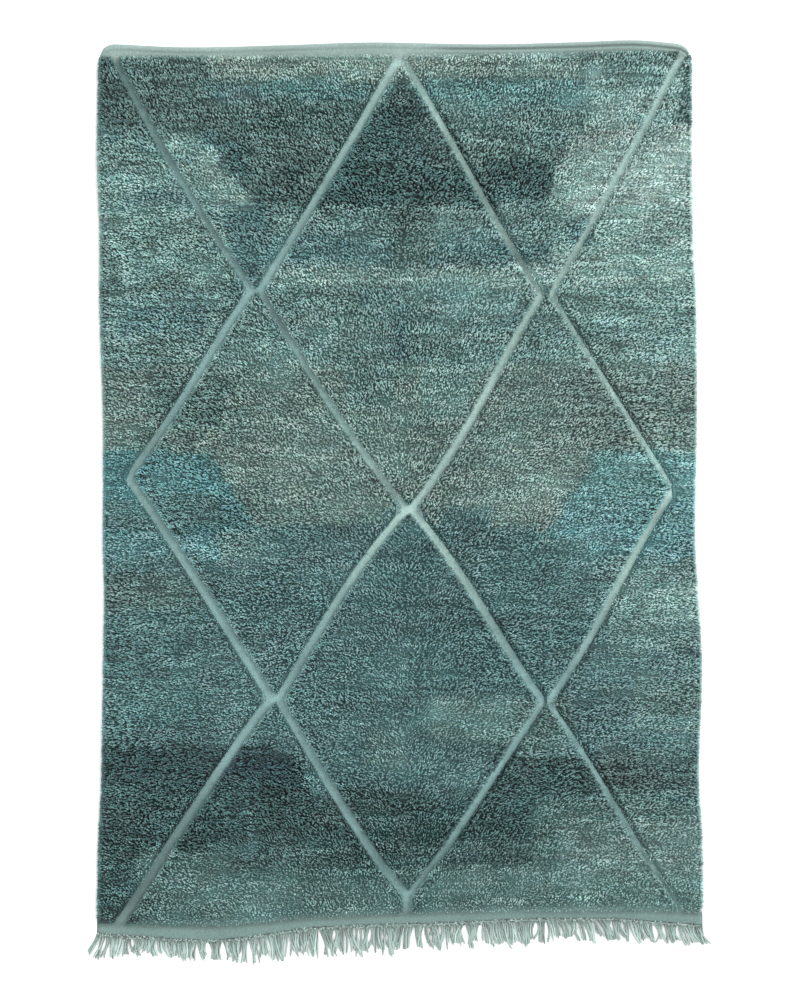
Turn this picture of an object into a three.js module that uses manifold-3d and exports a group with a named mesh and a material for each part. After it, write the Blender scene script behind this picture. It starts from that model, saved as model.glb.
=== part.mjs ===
// A shag rug of about 2 by 3 metres, knotted by hand in the Beni Ourain manner.
// Ten fields of deep wool pile stand on a flat ground weave, and the bare weave between them is the sunk
// lattice of diamonds. A soft rolled hem closes the head, and the warp ends are a loose fringe at the foot.
// Millimetres, +Z up. +Y runs to the head, and the origin is on the floor under the middle of the rug.

import * as THREE from "three";
import Module from "manifold-3d";
import { mergeVertices } from "three/addons/utils/BufferGeometryUtils.js";

const wasm = await Module();
wasm.setup();

const { clamp, degToRad, lerp, smoothstep } = THREE.MathUtils;

// Driving dimensions.
const weave = { thick: 4, tuckedIn: 8, underPile: 12, fade: 50, step: 62 };
const pile = { height: 24, rough: 2.4, rowPitch: 41, columnPitch: 53, wander: 8 };
const lattice = { lineWidth: 29, narrowestTip: 5 };
const hem = { wide: 19, height: 12, from: -938, to: 938, clearOfEdge: 1.5, step: 54 };
const twine = { wide: 8, height: 6.5, shoulder: 4.7, gap: 0.3, wander: 1.2 };
const lock = { count: 120, perClump: 4, gather: 0.28, sway: 2.5, apart: 1.3, uneven: 0.11, rootDepth: 5 };

// Where the pile stops at the head and at the foot, before each end's own waver is added.
const pileEnds = { head: 1462, foot: -1380, blend: 260 };

// Where the sides of the weave end, and how many steps each round corner of the head takes.
const corners = { headLeft: 1462, headRight: 1478, foot: -1388, steps: 4 };

// The rug's left and right edges, from head to foot.
const sideRows = [
  { y: 1455, left: -993, right: 967 },
  { y: 1160, left: -997, right: 968 },
  { y: 860, left: -988, right: 970 },
  { y: 660, left: -989, right: 980 },
  { y: 270, left: -977, right: 983 },
  { y: -130, left: -977, right: 977 },
  { y: -330, left: -973, right: 990 },
  { y: -560, left: -977, right: 1000 },
  { y: -920, left: -983, right: 990 },
  { y: -1120, left: -993, right: 1003 },
  { y: -1440, left: -1000, right: 1004 },
];

// The head: the outer edge of the hem, and the line where the pile starts under it.
const headRows = [
  { x: -937, edge: 1511, pile: 1465 },
  { x: -706, edge: 1501, pile: 1466 },
  { x: -376, edge: 1508, pile: 1468 },
  { x: -100, edge: 1517, pile: 1470 },
  { x: 284, edge: 1511, pile: 1473 },
  { x: 590, edge: 1518, pile: 1479 },
  { x: 785, edge: 1524, pile: 1486 },
  { x: 938, edge: 1511, pile: 1482 },
];

// The foot: the line where the pile stops, and the end of the flat weave beyond it.
const footRows = [
  { x: -993, pile: -1396, edge: -1432 },
  { x: -884, pile: -1399, edge: -1439 },
  { x: -624, pile: -1402, edge: -1453 },
  { x: -426, pile: -1389, edge: -1432 },
  { x: -300, pile: -1378, edge: -1413 },
  { x: -96, pile: -1367, edge: -1403 },
  { x: 165, pile: -1356, edge: -1395 },
  { x: 406, pile: -1352, edge: -1384 },
  { x: 719, pile: -1352, edge: -1382 },
  { x: 838, pile: -1352, edge: -1391 },
  { x: 1004, pile: -1361, edge: -1403 },
];

// How the fringe lies: its lean, as sideways run for each unit of length, and its length.
const fringeRows = [
  { x: -1000, lean: -0.56, length: 66 },
  { x: -890, lean: -0.14, length: 54 },
  { x: -620, lean: 0.05, length: 57 },
  { x: -500, lean: 0.02, length: 70 },
  { x: -330, lean: 0.16, length: 77 },
  { x: -90, lean: 0.02, length: 82 },
  { x: 160, lean: 0.02, length: 74 },
  { x: 400, lean: 0.1, length: 70 },
  { x: 620, lean: 0.28, length: 60 },
  { x: 860, lean: 0.42, length: 59 },
  { x: 1004, lean: 0.38, length: 58 },
];

// The corners and crossings of the lattice. At a crossing the two lines on the left and the two on the
// right are each set out from it by its spread.
const crossings = {
  headLeft: { x: -944, y: 1462, spread: 0 },
  head: { x: 0, y: 1462, spread: 0 },
  headRight: { x: 928, y: 1462, spread: 0 },
  upperLeft: { x: -476, y: 696, spread: 13 },
  upperRight: { x: 479, y: 685, spread: 13 },
  sideLeft: { x: -897, y: 79, spread: 0 },
  middle: { x: 28, y: -26, spread: 8 },
  sideRight: { x: 900, y: 33, spread: 0 },
  lowerLeft: { x: -412, y: -653, spread: 10 },
  lowerRight: { x: 480, y: -660, spread: 10 },
  foot: { x: 25, y: -1325, spread: 0 },
  footLeft: { x: -928, y: -1380, spread: 0 },
  footBand: { x: 25, y: -1380, spread: 0 },
  footRight: { x: 938, y: -1380, spread: 0 },
};

// The woven lines wander: how far each one is drawn to the right by the upper and by the lower handle of
// its curve.
const pulls = {
  "headLeft upperLeft": { upper: -21, lower: -21 },
  "head upperLeft": { upper: -2, lower: 9 },
  "head upperRight": { upper: 20, lower: -20 },
  "headRight upperRight": { upper: -2, lower: 1 },
  "upperLeft sideLeft": { upper: -6, lower: 25 },
  "upperLeft middle": { upper: -11, lower: -40 },
  "upperRight middle": { upper: -6, lower: 44 },
  "upperRight sideRight": { upper: -1, lower: 1 },
  "sideLeft lowerLeft": { upper: 13, lower: 0 },
  "middle lowerLeft": { upper: -48, lower: -13 },
  "middle lowerRight": { upper: 41, lower: -9 },
  "sideRight lowerRight": { upper: -22, lower: 36 },
  "lowerLeft footLeft": { upper: -21, lower: 16 },
  "lowerLeft foot": { upper: -8, lower: -30 },
  "lowerRight foot": { upper: -1, lower: 12 },
  "lowerRight footRight": { upper: 24, lower: -2 },
  "foot footBand": { upper: 0, lower: 0 },
};

// The ten fields of pile. Each side is the rug's edge, or the lattice followed from head to foot.
const fields = [
  { left: "edge", right: ["headLeft", "upperLeft", "sideLeft", "lowerLeft", "footLeft"] },
  { left: ["headRight", "upperRight", "sideRight", "lowerRight", "footRight"], right: "edge" },
  { left: ["headLeft", "upperLeft"], right: ["head", "upperLeft"] },
  { left: ["head", "upperRight"], right: ["headRight", "upperRight"] },
  { left: ["head", "upperLeft", "middle"], right: ["head", "upperRight", "middle"] },
  { left: ["upperLeft", "sideLeft", "lowerLeft"], right: ["upperLeft", "middle", "lowerLeft"] },
  { left: ["upperRight", "middle", "lowerRight"], right: ["upperRight", "sideRight", "lowerRight"] },
  { left: ["middle", "lowerLeft", "foot"], right: ["middle", "lowerRight", "foot"] },
  { left: ["lowerLeft", "footLeft"], right: ["lowerLeft", "foot", "footBand"] },
  { left: ["lowerRight", "foot", "footBand"], right: ["lowerRight", "footRight"] },
];

// The long swells of the pile's upper surface: crest to crest, heading in degrees, and rise.
const swells = [
  { length: 640, heading: 22, rise: 1.9 },
  { length: 310, heading: 104, rise: 1.8 },
  { length: 190, heading: 151, rise: 1.5 },
];

// The rims of the fields and of the hem. A lock stands out at every second point of a rim, and a notch
// stays behind it. The bulge is the rim's fullest height, and the shoulder is set in and down from the top.
const innerRim = { lockOut: 5, notchOut: 0.5, bulge: 12, lockDrop: 3, shoulderIn: 9, shoulderDrop: 2.5 };
const outerRim = { lockOut: 12, notchOut: 3, bulge: 11, lockDrop: 4, shoulderIn: 10, shoulderDrop: 3 };
const hemRim = { lockOut: 0.4, notchOut: 0.2, bulge: 7, lockDrop: 0, shoulderIn: 5, shoulderDrop: 0.5 };
const lockFullness = { least: 0.75, most: 1.25, shoulder: 0.7 };

// The stations along a lock of the fringe: the share of its length, and its width and height there.
const lockStations = [
  { part: 0, wide: 8.5, height: 3.4, underside: 0.9 },
  { part: 0.3, wide: 10.5, height: 5.5, underside: 0 },
  { part: 0.7, wide: 10, height: 4.4, underside: 0 },
  { part: 1, wide: 4.5, height: 3, underside: 0 },
];
const lockTopShare = 0.66;

// A repeatable number from 0 to 1 for any pair of values, and one from -1 to 1.
function scatter(a, b) {
  const s = Math.sin(a * 12.9898 + b * 78.233) * 43758.5453;
  return s - Math.floor(s);
}

const spread = (a, b) => 2 * scatter(a, b) - 1;

// The value in a column of a table at a place along it, as a smooth curve through the rows.
function along(rows, placeColumn, place, column) {
  const forwards = rows[1][placeColumn] > rows[0][placeColumn];
  const past = rows.findIndex((row) => (forwards ? row[placeColumn] > place : row[placeColumn] < place));
  if (past === 0) return rows[0][column];
  if (past < 0) return rows.at(-1)[column];
  const slopeAt = (i) => {
    const before = rows[Math.max(i - 1, 0)];
    const after = rows[Math.min(i + 1, rows.length - 1)];
    return (after[column] - before[column]) / (after[placeColumn] - before[placeColumn]);
  };
  const low = rows[past - 1];
  const high = rows[past];
  const span = high[placeColumn] - low[placeColumn];
  const t = (place - low[placeColumn]) / span;
  const leaving = t * (1 - t) * (1 - t) * span * slopeAt(past - 1);
  const arriving = t * t * (t - 1) * span * slopeAt(past);
  return lerp(low[column], high[column], t * t * (3 - 2 * t)) + leaving + arriving;
}

const sideAt = (y, side) => along(sideRows, "y", y, side);
const headAt = (x, column) => along(headRows, "x", x, column);
const footAt = (x, column) => along(footRows, "x", x, column);
const fringeAt = (x, column) => along(fringeRows, "x", x, column);
const inwardOn = (side) => (side === "left" ? 1 : -1);

// Even places from one value to another, as near to a step apart as they divide.
function places(from, to, step) {
  const count = Math.round(Math.abs(to - from) / step);
  return Array.from({ length: count + 1 }, (unused, i) => lerp(from, to, i / count));
}

// The ends of the pile aren't straight, so rows near an end are shifted to follow it.
function followEnds(x, y) {
  const nearHead = smoothstep(y, pileEnds.head - pileEnds.blend, pileEnds.head);
  const nearFoot = smoothstep(-y, -pileEnds.foot - pileEnds.blend, -pileEnds.foot);
  const headShift = nearHead * (headAt(x, "pile") - pileEnds.head);
  const footShift = nearFoot * (footAt(x, "pile") - pileEnds.foot);
  return y + headShift + footShift;
}

// The ground weave is tucked in under the pile at the sides, and reaches the rug's edge in the end bands.
function weaveSide(y, side) {
  const pastFoot = smoothstep(y, pileEnds.foot, pileEnds.foot + weave.fade);
  const shortOfHead = smoothstep(-y, -pileEnds.head, weave.fade - pileEnds.head);
  return sideAt(y, side) + inwardOn(side) * weave.tuckedIn * pastFoot * shortOfHead;
}

// The lattice line from one crossing to the next, and the half width of its strip measured across the rug.
function lineAt(fromName, toName, y) {
  const from = crossings[fromName];
  const to = crossings[toName];
  const { upper, lower } = pulls[`${fromName} ${toName}`];
  const heading = Math.sign(to.x - from.x);
  const startX = from.x + heading * from.spread;
  const endX = to.x - heading * to.spread;
  const t = clamp((y - from.y) / (to.y - from.y), 0, 1);
  const slope = (endX - startX) / (to.y - from.y);
  return {
    x: lerp(startX, endX, t) + 3 * t * (1 - t) * lerp(upper, lower, t),
    half: (lattice.lineWidth / 2) * Math.hypot(1, slope),
  };
}

// Where a side of a field is at a height y on the rug.
function fieldSide(field, side, y) {
  const route = field[side];
  if (route === "edge") return sideAt(y, side) + inwardOn(side) * weave.underPile;
  const lastLeg = route.length - 2;
  const leg = route.findIndex((name, i) => i === lastLeg || y > crossings[route[i + 1]].y);
  const line = lineAt(route[leg], route[leg + 1], y);
  return line.x + inwardOn(side) * line.half;
}

// A field's end, walked from the crossing where its sides meet until they are far enough apart for pile.
function tipOf(field, crossing, step) {
  let y = crossings[crossing].y;
  while (fieldSide(field, "right", y) - fieldSide(field, "left", y) < lattice.narrowestTip) y += step;
  return y;
}

// The rise and fall of the pile's upper surface at a point.
function lumpAt({ x, y }) {
  const swell = swells.reduce((sum, { length, heading, rise }) => {
    const distance = x * Math.cos(degToRad(heading)) + y * Math.sin(degToRad(heading));
    return sum + rise * Math.sin((2 * Math.PI * distance) / length);
  }, 0);
  return swell + pile.rough * spread(y, x);
}

// The rows of points that cover a field, from foot to head. A row at a tip has one point.
function fieldRows(field) {
  const [headTip, footTip] = [0, -1].map((end) => field.left.at(end) === field.right.at(end));
  const top = headTip ? tipOf(field, field.left[0], -1) : pileEnds.head;
  const bottom = footTip ? tipOf(field, field.left.at(-1), 1) : pileEnds.foot;
  const heights = places(bottom, top, pile.rowPitch);
  return heights.map((y, row) => {
    const atEnd = row === 0 || row === heights.length - 1;
    const from = fieldSide(field, "left", y);
    const to = fieldSide(field, "right", y);
    if ((row === 0 && footTip) || (row === heights.length - 1 && headTip)) {
      const x = (from + to) / 2;
      return [{ x, y: followEnds(x, y), rim: innerRim }];
    }
    const cells = Math.max(1, Math.round((to - from) / pile.columnPitch));
    return Array.from({ length: cells + 1 }, (unused, column) => {
      const side = column === 0 ? "left" : "right";
      const onSide = column === 0 || column === cells;
      const rim = onSide && field[side] === "edge" ? outerRim : innerRim;
      const wander = atEnd || onSide ? 0 : pile.wander * spread(row, column + from);
      const x = lerp(from, to, column / cells) + wander;
      return { x, y: followEnds(x, y) + wander / 2, rim: atEnd || onSide ? rim : null };
    });
  });
}

// The two rows of points that the rolled hem stands on.
function hemRows() {
  return [hem.wide, 0].map((fromEdge) =>
    places(hem.from, hem.to, hem.step).map((x) => {
      return { x, y: headAt(x, "edge") - hem.clearOfEdge - fromEdge, rim: hemRim };
    }),
  );
}

// The points that lie round the outside of a set of rows, anticlockwise seen from above.
function roundOf(rows) {
  const between = rows.slice(1, -1);
  const rightSide = between.map((row) => row.at(-1));
  const leftSide = between.map((row) => row[0]).reverse();
  return [...rows[0], ...rightSide, ...rows.at(-1).toReversed(), ...leftSide];
}

// Collects a surface as triangles, given as three points each.
class Skin {
  positions = [];

  triangle(...points) {
    for (const { x, y, z } of points) this.positions.push(x, y, z);
  }

  quad(a, b, c, d) {
    this.triangle(a, b, c);
    this.triangle(a, c, d);
  }

  geometry() {
    const geometry = new THREE.BufferGeometry();
    geometry.setAttribute("position", new THREE.Float32BufferAttribute(this.positions, 3));
    return geometry;
  }
}

// Joins two neighbouring rows, the lower one first, by stepping along whichever lags behind.
function zip(skin, lower, upper) {
  const middleAfter = (row, i) => (i < row.length - 1 ? (row[i].x + row[i + 1].x) / 2 : Infinity);
  let i = 0;
  let j = 0;
  while (i < lower.length - 1 || j < upper.length - 1) {
    if (middleAfter(lower, i) <= middleAfter(upper, j)) {
      skin.triangle(lower[i], lower[i + 1], upper[j]);
      i += 1;
    } else {
      skin.triangle(lower[i], upper[j + 1], upper[j]);
      j += 1;
    }
  }
}

// Raises a field, or the hem, over the ground weave: a rim that bulges in locks, and a top.
// It gives back the ring of points where the rim leaves the weave.
function raise(skin, rows, height, lump) {
  const round = roundOf(rows);
  const size = round.length;
  const foot = [];
  const bulge = [];
  const top = new Map();
  round.forEach((point, i) => {
    const before = round[(i + size - 1) % size];
    const after = round[(i + 1) % size];
    const run = Math.hypot(after.x - before.x, after.y - before.y);
    const movedOut = (out, z) => ({
      x: point.x + (out * (after.y - before.y)) / run,
      y: point.y - (out * (after.x - before.x)) / run,
      z,
    });
    const { rim } = point;
    const isLock = i % 2 === 1;
    const fullness = isLock ? lerp(lockFullness.least, lockFullness.most, scatter(point.x, i)) : 0;
    const sag = isLock ? -rim.lockDrop * fullness : rim.lockDrop;
    const shoulderIn = rim.shoulderIn * (isLock ? lockFullness.shoulder : 1);
    foot.push(movedOut(0, weave.thick));
    bulge.push(movedOut(lerp(rim.notchOut, rim.lockOut, fullness), rim.bulge + sag));
    top.set(point, movedOut(-shoulderIn, height + lump(point) - rim.shoulderDrop));
  });
  for (const point of rows.flat()) {
    if (!top.has(point)) top.set(point, { x: point.x, y: point.y, z: height + lump(point) });
  }
  for (let i = 0; i < size; i += 1) {
    const next = (i + 1) % size;
    skin.quad(foot[i], foot[next], bulge[next], bulge[i]);
    skin.quad(bulge[i], bulge[next], top.get(round[next]), top.get(round[i]));
  }
  const topRows = rows.map((row) => row.map((point) => top.get(point)));
  for (let row = 1; row < topRows.length; row += 1) zip(skin, topRows[row - 1], topRows[row]);
  return foot;
}

// The places across the foot where the end of the weave and the twined cord have their points.
function footPlaces() {
  const { left, right } = sideRows.at(-1);
  return places(left, right, weave.step);
}

// A round corner of the head: a quarter ellipse from the weave's side to the hem's outer edge.
function headCorner(headRow, side, sideTop) {
  const sideX = weaveSide(sideTop, side);
  return places(0, Math.PI / 2, Math.PI / 2 / corners.steps).slice(1, -1).map((angle) => {
    const x = headRow.x + (sideX - headRow.x) * Math.cos(angle);
    return new THREE.Vector2(x, sideTop + (headRow.edge - sideTop) * Math.sin(angle));
  });
}

// The outline of the ground weave, anticlockwise from the left end of its foot.
function weaveOutline() {
  const point = (x, y) => new THREE.Vector2(x, y);
  const foot = footPlaces().map((x) => point(x, footAt(x, "edge")));
  const head = places(headRows[0].x, headRows.at(-1).x, weave.step).map((x) => point(x, headAt(x, "edge")));
  const sideUp = (side, top) => {
    return places(corners.foot, top, weave.step).map((y) => point(weaveSide(y, side), y));
  };
  return [
    ...foot,
    ...sideUp("right", corners.headRight),
    ...headCorner(headRows.at(-1), "right", corners.headRight),
    ...head.reverse(),
    ...headCorner(headRows[0], "left", corners.headLeft).reverse(),
    ...sideUp("left", corners.headLeft).reverse(),
  ];
}

// Lays a flat face with holes at a height, facing up or down.
function layFlat(skin, outline, holes, z, facingUp) {
  const points = [...outline, ...holes.flat()].map(({ x, y }) => ({ x, y, z }));
  const flatHoles = holes.map((hole) => hole.map(({ x, y }) => new THREE.Vector2(x, y)));
  for (const [i, j, k] of THREE.ShapeUtils.triangulateShape([...outline], flatHoles)) {
    const [a, b, c] = [points[i], points[j], points[k]];
    const turnsLeft = (b.x - a.x) * (c.y - a.y) > (b.y - a.y) * (c.x - a.x);
    if (turnsLeft === facingUp) skin.triangle(a, b, c);
    else skin.triangle(a, c, b);
  }
}

// The rug's body in one piece: ground weave, end bands, rolled hem and the ten fields of pile.
function rugBody() {
  const skin = new Skin();
  const rings = fields.map((field) => raise(skin, fieldRows(field), pile.height, lumpAt));
  rings.push(raise(skin, hemRows(), hem.height, () => 0));
  const outline = weaveOutline();
  layFlat(skin, outline, rings, weave.thick, true);
  layFlat(skin, outline, [], 0, false);
  const raised = ({ x, y }, z) => ({ x, y, z });
  outline.forEach((point, i) => {
    const next = outline[(i + 1) % outline.length];
    skin.quad(raised(point, 0), raised(next, 0), raised(next, weave.thick), raised(point, weave.thick));
  });
  return skin.geometry();
}

// A closed solid swept through a list of sections, each with the same number of corners.
function loft(sections) {
  const skin = new Skin();
  const start = sections[0];
  const end = sections.at(-1);
  for (let s = 1; s < sections.length; s += 1) {
    for (let i = 0; i < start.length; i += 1) {
      const next = (i + 1) % start.length;
      skin.quad(sections[s - 1][i], sections[s - 1][next], sections[s][next], sections[s][i]);
    }
  }
  for (let i = 1; i < start.length - 1; i += 1) {
    skin.triangle(start[0], start[i + 1], start[i]);
    skin.triangle(end[0], end[i], end[i + 1]);
  }
  return skin.geometry();
}

// A geometry as a solid that can be joined to others.
function solidOf(geometry) {
  const merged = mergeVertices(geometry, 1e-4);
  return new wasm.Manifold(new wasm.Mesh({
    numProp: 3,
    vertProperties: new Float32Array(merged.attributes.position.array),
    triVerts: new Uint32Array(merged.index.array),
  }));
}

// A solid's surface as a geometry again.
function geometryOf(solid) {
  const mesh = solid.getMesh();
  const geometry = new THREE.BufferGeometry();
  geometry.setAttribute("position", new THREE.BufferAttribute(new Float32Array(mesh.vertProperties), 3));
  geometry.setIndex(new THREE.BufferAttribute(new Uint32Array(mesh.triVerts), 1));
  return geometry;
}

// The twined cord across the foot that holds the roots of the fringe, flat below and ridged above.
function twinedCord() {
  const sections = footPlaces().map((x, i) => {
    const inner = footAt(x, "edge") - twine.gap;
    const outer = inner - twine.wide - twine.wander * spread(i, 3);
    const ridge = twine.height + (twine.wander / 2) * spread(i, 7);
    return [
      { x, y: outer, z: 0 },
      { x, y: inner, z: 0 },
      { x, y: inner, z: twine.shoulder },
      { x, y: (inner + outer) / 2, z: ridge },
      { x, y: outer, z: twine.shoulder },
    ];
  });
  return solidOf(loft(sections));
}

// Where each lock of the fringe is at each of its stations. Neighbours draw together in clumps,
// and a lock that would touch the one before it is set over.
function lockPaths() {
  const { left, right } = sideRows.at(-1);
  const pitch = (right - left) / lock.count;
  const paths = [];
  for (let i = 0; i < lock.count; i += 1) {
    const rootX = left + pitch * (i + 0.5);
    const rootY = footAt(rootX, "edge") - twine.gap - lock.rootDepth;
    const clumpX = left + pitch * lock.perClump * (Math.floor(i / lock.perClump) + 0.5);
    const length = fringeAt(rootX, "length") * (1 + lock.uneven * spread(i, 1));
    const path = lockStations.map((station, s) => {
      const { part, wide } = station;
      const drawnIn = lock.gather * part * (clumpX - rootX);
      const leaning = fringeAt(rootX, "lean") * length * part;
      const swaying = lock.sway * spread(i, 5) * Math.sin(Math.PI * part);
      const before = paths[i - 1]?.[s];
      const free = before ? before.x + (before.wide + wide) / 2 + lock.apart : -Infinity;
      const x = Math.max(rootX + drawnIn + leaning + swaying, free);
      return { ...station, x, y: rootY - length * part };
    });
    paths.push(path);
  }
  return paths;
}

// One lock of four sides, level on the floor, with its root inside the cord.
function lockSolid(path) {
  const sections = path.map(({ x, y, wide, height, underside }) => {
    const half = wide / 2;
    const topHalf = half * lockTopShare;
    return [
      { x: x - half, y, z: underside },
      { x: x + half, y, z: underside },
      { x: x + topHalf, y, z: underside + height },
      { x: x - topHalf, y, z: underside + height },
    ];
  });
  return solidOf(loft(sections));
}

// The fringe in one piece: the locks fused to the twined cord.
function fringe() {
  return geometryOf(lockPaths().reduce((sum, path) => sum.add(lockSolid(path)), twinedCord()));
}

// A named piece in wool of a colour.
function named(name, geometry, color) {
  const wool = new THREE.MeshStandardMaterial({ color, roughness: 0.95, metalness: 0, flatShading: true });
  const mesh = new THREE.Mesh(geometry, wool);
  mesh.name = name;
  return mesh;
}

const rug = new THREE.Group();
rug.add(named("rug_body", rugBody(), 0x557877));
rug.add(named("fringe", fringe(), 0xb9d2cb));

export default rug;
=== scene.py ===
import math

import bpy
import numpy as np
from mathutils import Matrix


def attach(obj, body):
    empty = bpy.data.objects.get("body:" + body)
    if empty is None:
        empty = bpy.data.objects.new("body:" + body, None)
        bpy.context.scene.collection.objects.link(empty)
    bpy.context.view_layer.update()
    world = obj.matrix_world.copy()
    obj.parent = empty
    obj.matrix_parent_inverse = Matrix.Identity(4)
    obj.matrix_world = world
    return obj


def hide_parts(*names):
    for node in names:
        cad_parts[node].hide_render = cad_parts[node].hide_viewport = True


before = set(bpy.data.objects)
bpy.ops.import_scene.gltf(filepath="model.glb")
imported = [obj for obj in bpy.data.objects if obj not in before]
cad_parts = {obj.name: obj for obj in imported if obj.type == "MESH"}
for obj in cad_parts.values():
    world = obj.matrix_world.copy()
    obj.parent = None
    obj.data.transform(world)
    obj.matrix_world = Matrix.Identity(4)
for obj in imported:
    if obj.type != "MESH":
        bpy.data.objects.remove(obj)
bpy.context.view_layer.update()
print("frame loaded")

# The plan of the rug, in metres: +Y runs to the head, and the fringe is at the foot.
rugEdges = {
    "y": [1.455, 1.16, 0.86, 0.66, 0.27, -0.13, -0.33, -0.56, -0.92, -1.12, -1.44],
    "left": [-0.993, -0.997, -0.988, -0.989, -0.977, -0.977, -0.973, -0.977, -0.983, -0.993, -1.0],
    "right": [0.967, 0.968, 0.97, 0.98, 0.983, 0.977, 0.99, 1.0, 0.99, 1.003, 1.004],
}
headEnd = {
    "x": [-0.937, -0.706, -0.376, -0.1, 0.284, 0.59, 0.785, 0.938],
    "edge": [1.511, 1.501, 1.508, 1.517, 1.511, 1.518, 1.524, 1.511],
    "pile": [1.465, 1.466, 1.468, 1.47, 1.473, 1.479, 1.486, 1.482],
}
footEnd = {
    "x": [-0.993, -0.884, -0.624, -0.426, -0.3, -0.096, 0.165, 0.406, 0.719, 0.838, 1.004],
    "pile": [-1.396, -1.399, -1.402, -1.389, -1.378, -1.367, -1.356, -1.352, -1.352, -1.352, -1.361],
    "edge": [-1.432, -1.439, -1.453, -1.432, -1.413, -1.403, -1.395, -1.384, -1.382, -1.391, -1.403],
}
pileEnds = {"head": 1.462, "foot": -1.38, "blend": 0.26}

# Crossings of the lattice: x, y and how far the lines on each side are set out from it.
crossings = {
    "headLeft": (-0.944, 1.462, 0), "head": (0, 1.462, 0), "headRight": (0.928, 1.462, 0),
    "upperLeft": (-0.476, 0.696, 0.013), "upperRight": (0.479, 0.685, 0.013),
    "sideLeft": (-0.897, 0.079, 0), "middle": (0.028, -0.026, 0.008), "sideRight": (0.9, 0.033, 0),
    "lowerLeft": (-0.412, -0.653, 0.01), "lowerRight": (0.48, -0.66, 0.01), "foot": (0.025, -1.325, 0),
    "footLeft": (-0.928, -1.38, 0), "footBand": (0.025, -1.38, 0), "footRight": (0.938, -1.38, 0),
}
# The lines of the lattice. "pull" is how far a line is drawn to the right by the upper and the lower
# handle of its curve. "settled" is how far the pile beside it has settled to the right, and how much
# wider it leaves the bare line. The last pair is how pale a line is a quarter and three quarters of the
# way along: partly the line's own tone, partly painted light that lifts lines lying in the pile's shadow.
lines = {
    ("headLeft", "upperLeft"): {"pull": (-0.021, -0.021), "settled": (0.004, -0.005), "pale": (0.56, 0.74)},
    ("head", "upperLeft"): {"pull": (-0.002, 0.009), "settled": (0.007, 0), "pale": (0.9, 0.78)},
    ("head", "upperRight"): {"pull": (0.02, -0.02), "settled": (0.001, -0.007), "pale": (1.36, 0.99)},
    ("headRight", "upperRight"): {"pull": (-0.002, 0.001), "settled": (0.011, -0.007), "pale": (1.4, 1.16)},
    ("upperLeft", "sideLeft"): {"pull": (-0.006, 0.025), "settled": (0.0055, 0), "pale": (0.88, 0.69)},
    ("upperLeft", "middle"): {"pull": (-0.011, -0.04), "settled": (0.005, -0.007), "pale": (0.72, 1.12)},
    ("upperRight", "middle"): {"pull": (-0.006, 0.044), "settled": (0.006, -0.003), "pale": (1.02, 1.19)},
    ("upperRight", "sideRight"): {"pull": (-0.001, 0.001), "settled": (0.005, -0.011), "pale": (1.62, 2.05)},
    ("sideLeft", "lowerLeft"): {"pull": (0.013, 0), "settled": (0.005, 0.003), "pale": (0.71, 0.79)},
    ("middle", "lowerLeft"): {"pull": (-0.048, -0.013), "settled": (0.0085, 0), "pale": (0.91, 0.73)},
    ("middle", "lowerRight"): {"pull": (0.041, -0.009), "settled": (0.0005, -0.002), "pale": (1.29, 0.99)},
    ("sideRight", "lowerRight"): {"pull": (-0.022, 0.036), "settled": (0.003, -0.003), "pale": (1.09, 0.82)},
    ("lowerLeft", "footLeft"): {"pull": (-0.021, 0.016), "settled": (0.003, 0.003), "pale": (0.69, 0.38)},
    ("lowerLeft", "foot"): {"pull": (-0.008, -0.03), "settled": (0.0045, -0.002), "pale": (0.84, 0.82)},
    ("lowerRight", "foot"): {"pull": (-0.001, 0.012), "settled": (0.0055, -0.006), "pale": (0.98, 0.72)},
    ("lowerRight", "footRight"): {"pull": (0.024, -0.002), "settled": (-0.003, -0.011), "pale": (1.4, 0.78)},
    ("foot", "footBand"): {"pull": (0, 0), "settled": (0.003, 0), "pale": (0.6, 0.6)},
}
lineWidth = 0.029

# Each field of pile with its left and right sides: the rug's edge, or the lattice from head to foot.
fields = {
    "pileLeftSide": ("edge", ["headLeft", "upperLeft", "sideLeft", "lowerLeft", "footLeft"]),
    "pileRightSide": (["headRight", "upperRight", "sideRight", "lowerRight", "footRight"], "edge"),
    "pileHeadLeft": (["headLeft", "upperLeft"], ["head", "upperLeft"]),
    "pileHeadRight": (["head", "upperRight"], ["headRight", "upperRight"]),
    "pileHeadMiddle": (["head", "upperLeft", "middle"], ["head", "upperRight", "middle"]),
    "pileMidLeft": (["upperLeft", "sideLeft", "lowerLeft"], ["upperLeft", "middle", "lowerLeft"]),
    "pileMidRight": (["upperRight", "middle", "lowerRight"], ["upperRight", "sideRight", "lowerRight"]),
    "pileFootMiddle": (["middle", "lowerLeft", "foot"], ["middle", "lowerRight", "foot"]),
    "pileFootLeft": (["lowerLeft", "footLeft"], ["lowerLeft", "foot", "footBand"]),
    "pileFootRight": (["lowerRight", "foot", "footBand"], ["lowerRight", "footRight"]),
}


# from low to high by a share
def mix(low, high, share):
    return low + (high - low) * share


# from 0 to 1 between two values, eased as 3t^2 - 2t^3
def ramp(value, low, high):
    t = np.clip((value - low) / (high - low), 0, 1)
    return t * t * (3 - 2 * t)


# random numbers from -1 to 1 on a grid of cells, eased from each one to the next
def softNoise(x, y, cellX, cellY, seed):
    u, v = (x + 1.7) / cellX, (y + 1.7) / cellY
    numbers = np.random.default_rng(seed).uniform(-1, 1, (int(3.4 / cellX) + 3, int(3.4 / cellY) + 3))
    i, j = np.floor(u).astype(int), np.floor(v).astype(int)
    s, t = ramp(u - i, 0, 1), ramp(v - j, 0, 1)
    near = mix(numbers[i, j], numbers[i + 1, j], s)
    far = mix(numbers[i, j + 1], numbers[i + 1, j + 1], s)
    return mix(near, far, t)


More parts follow.
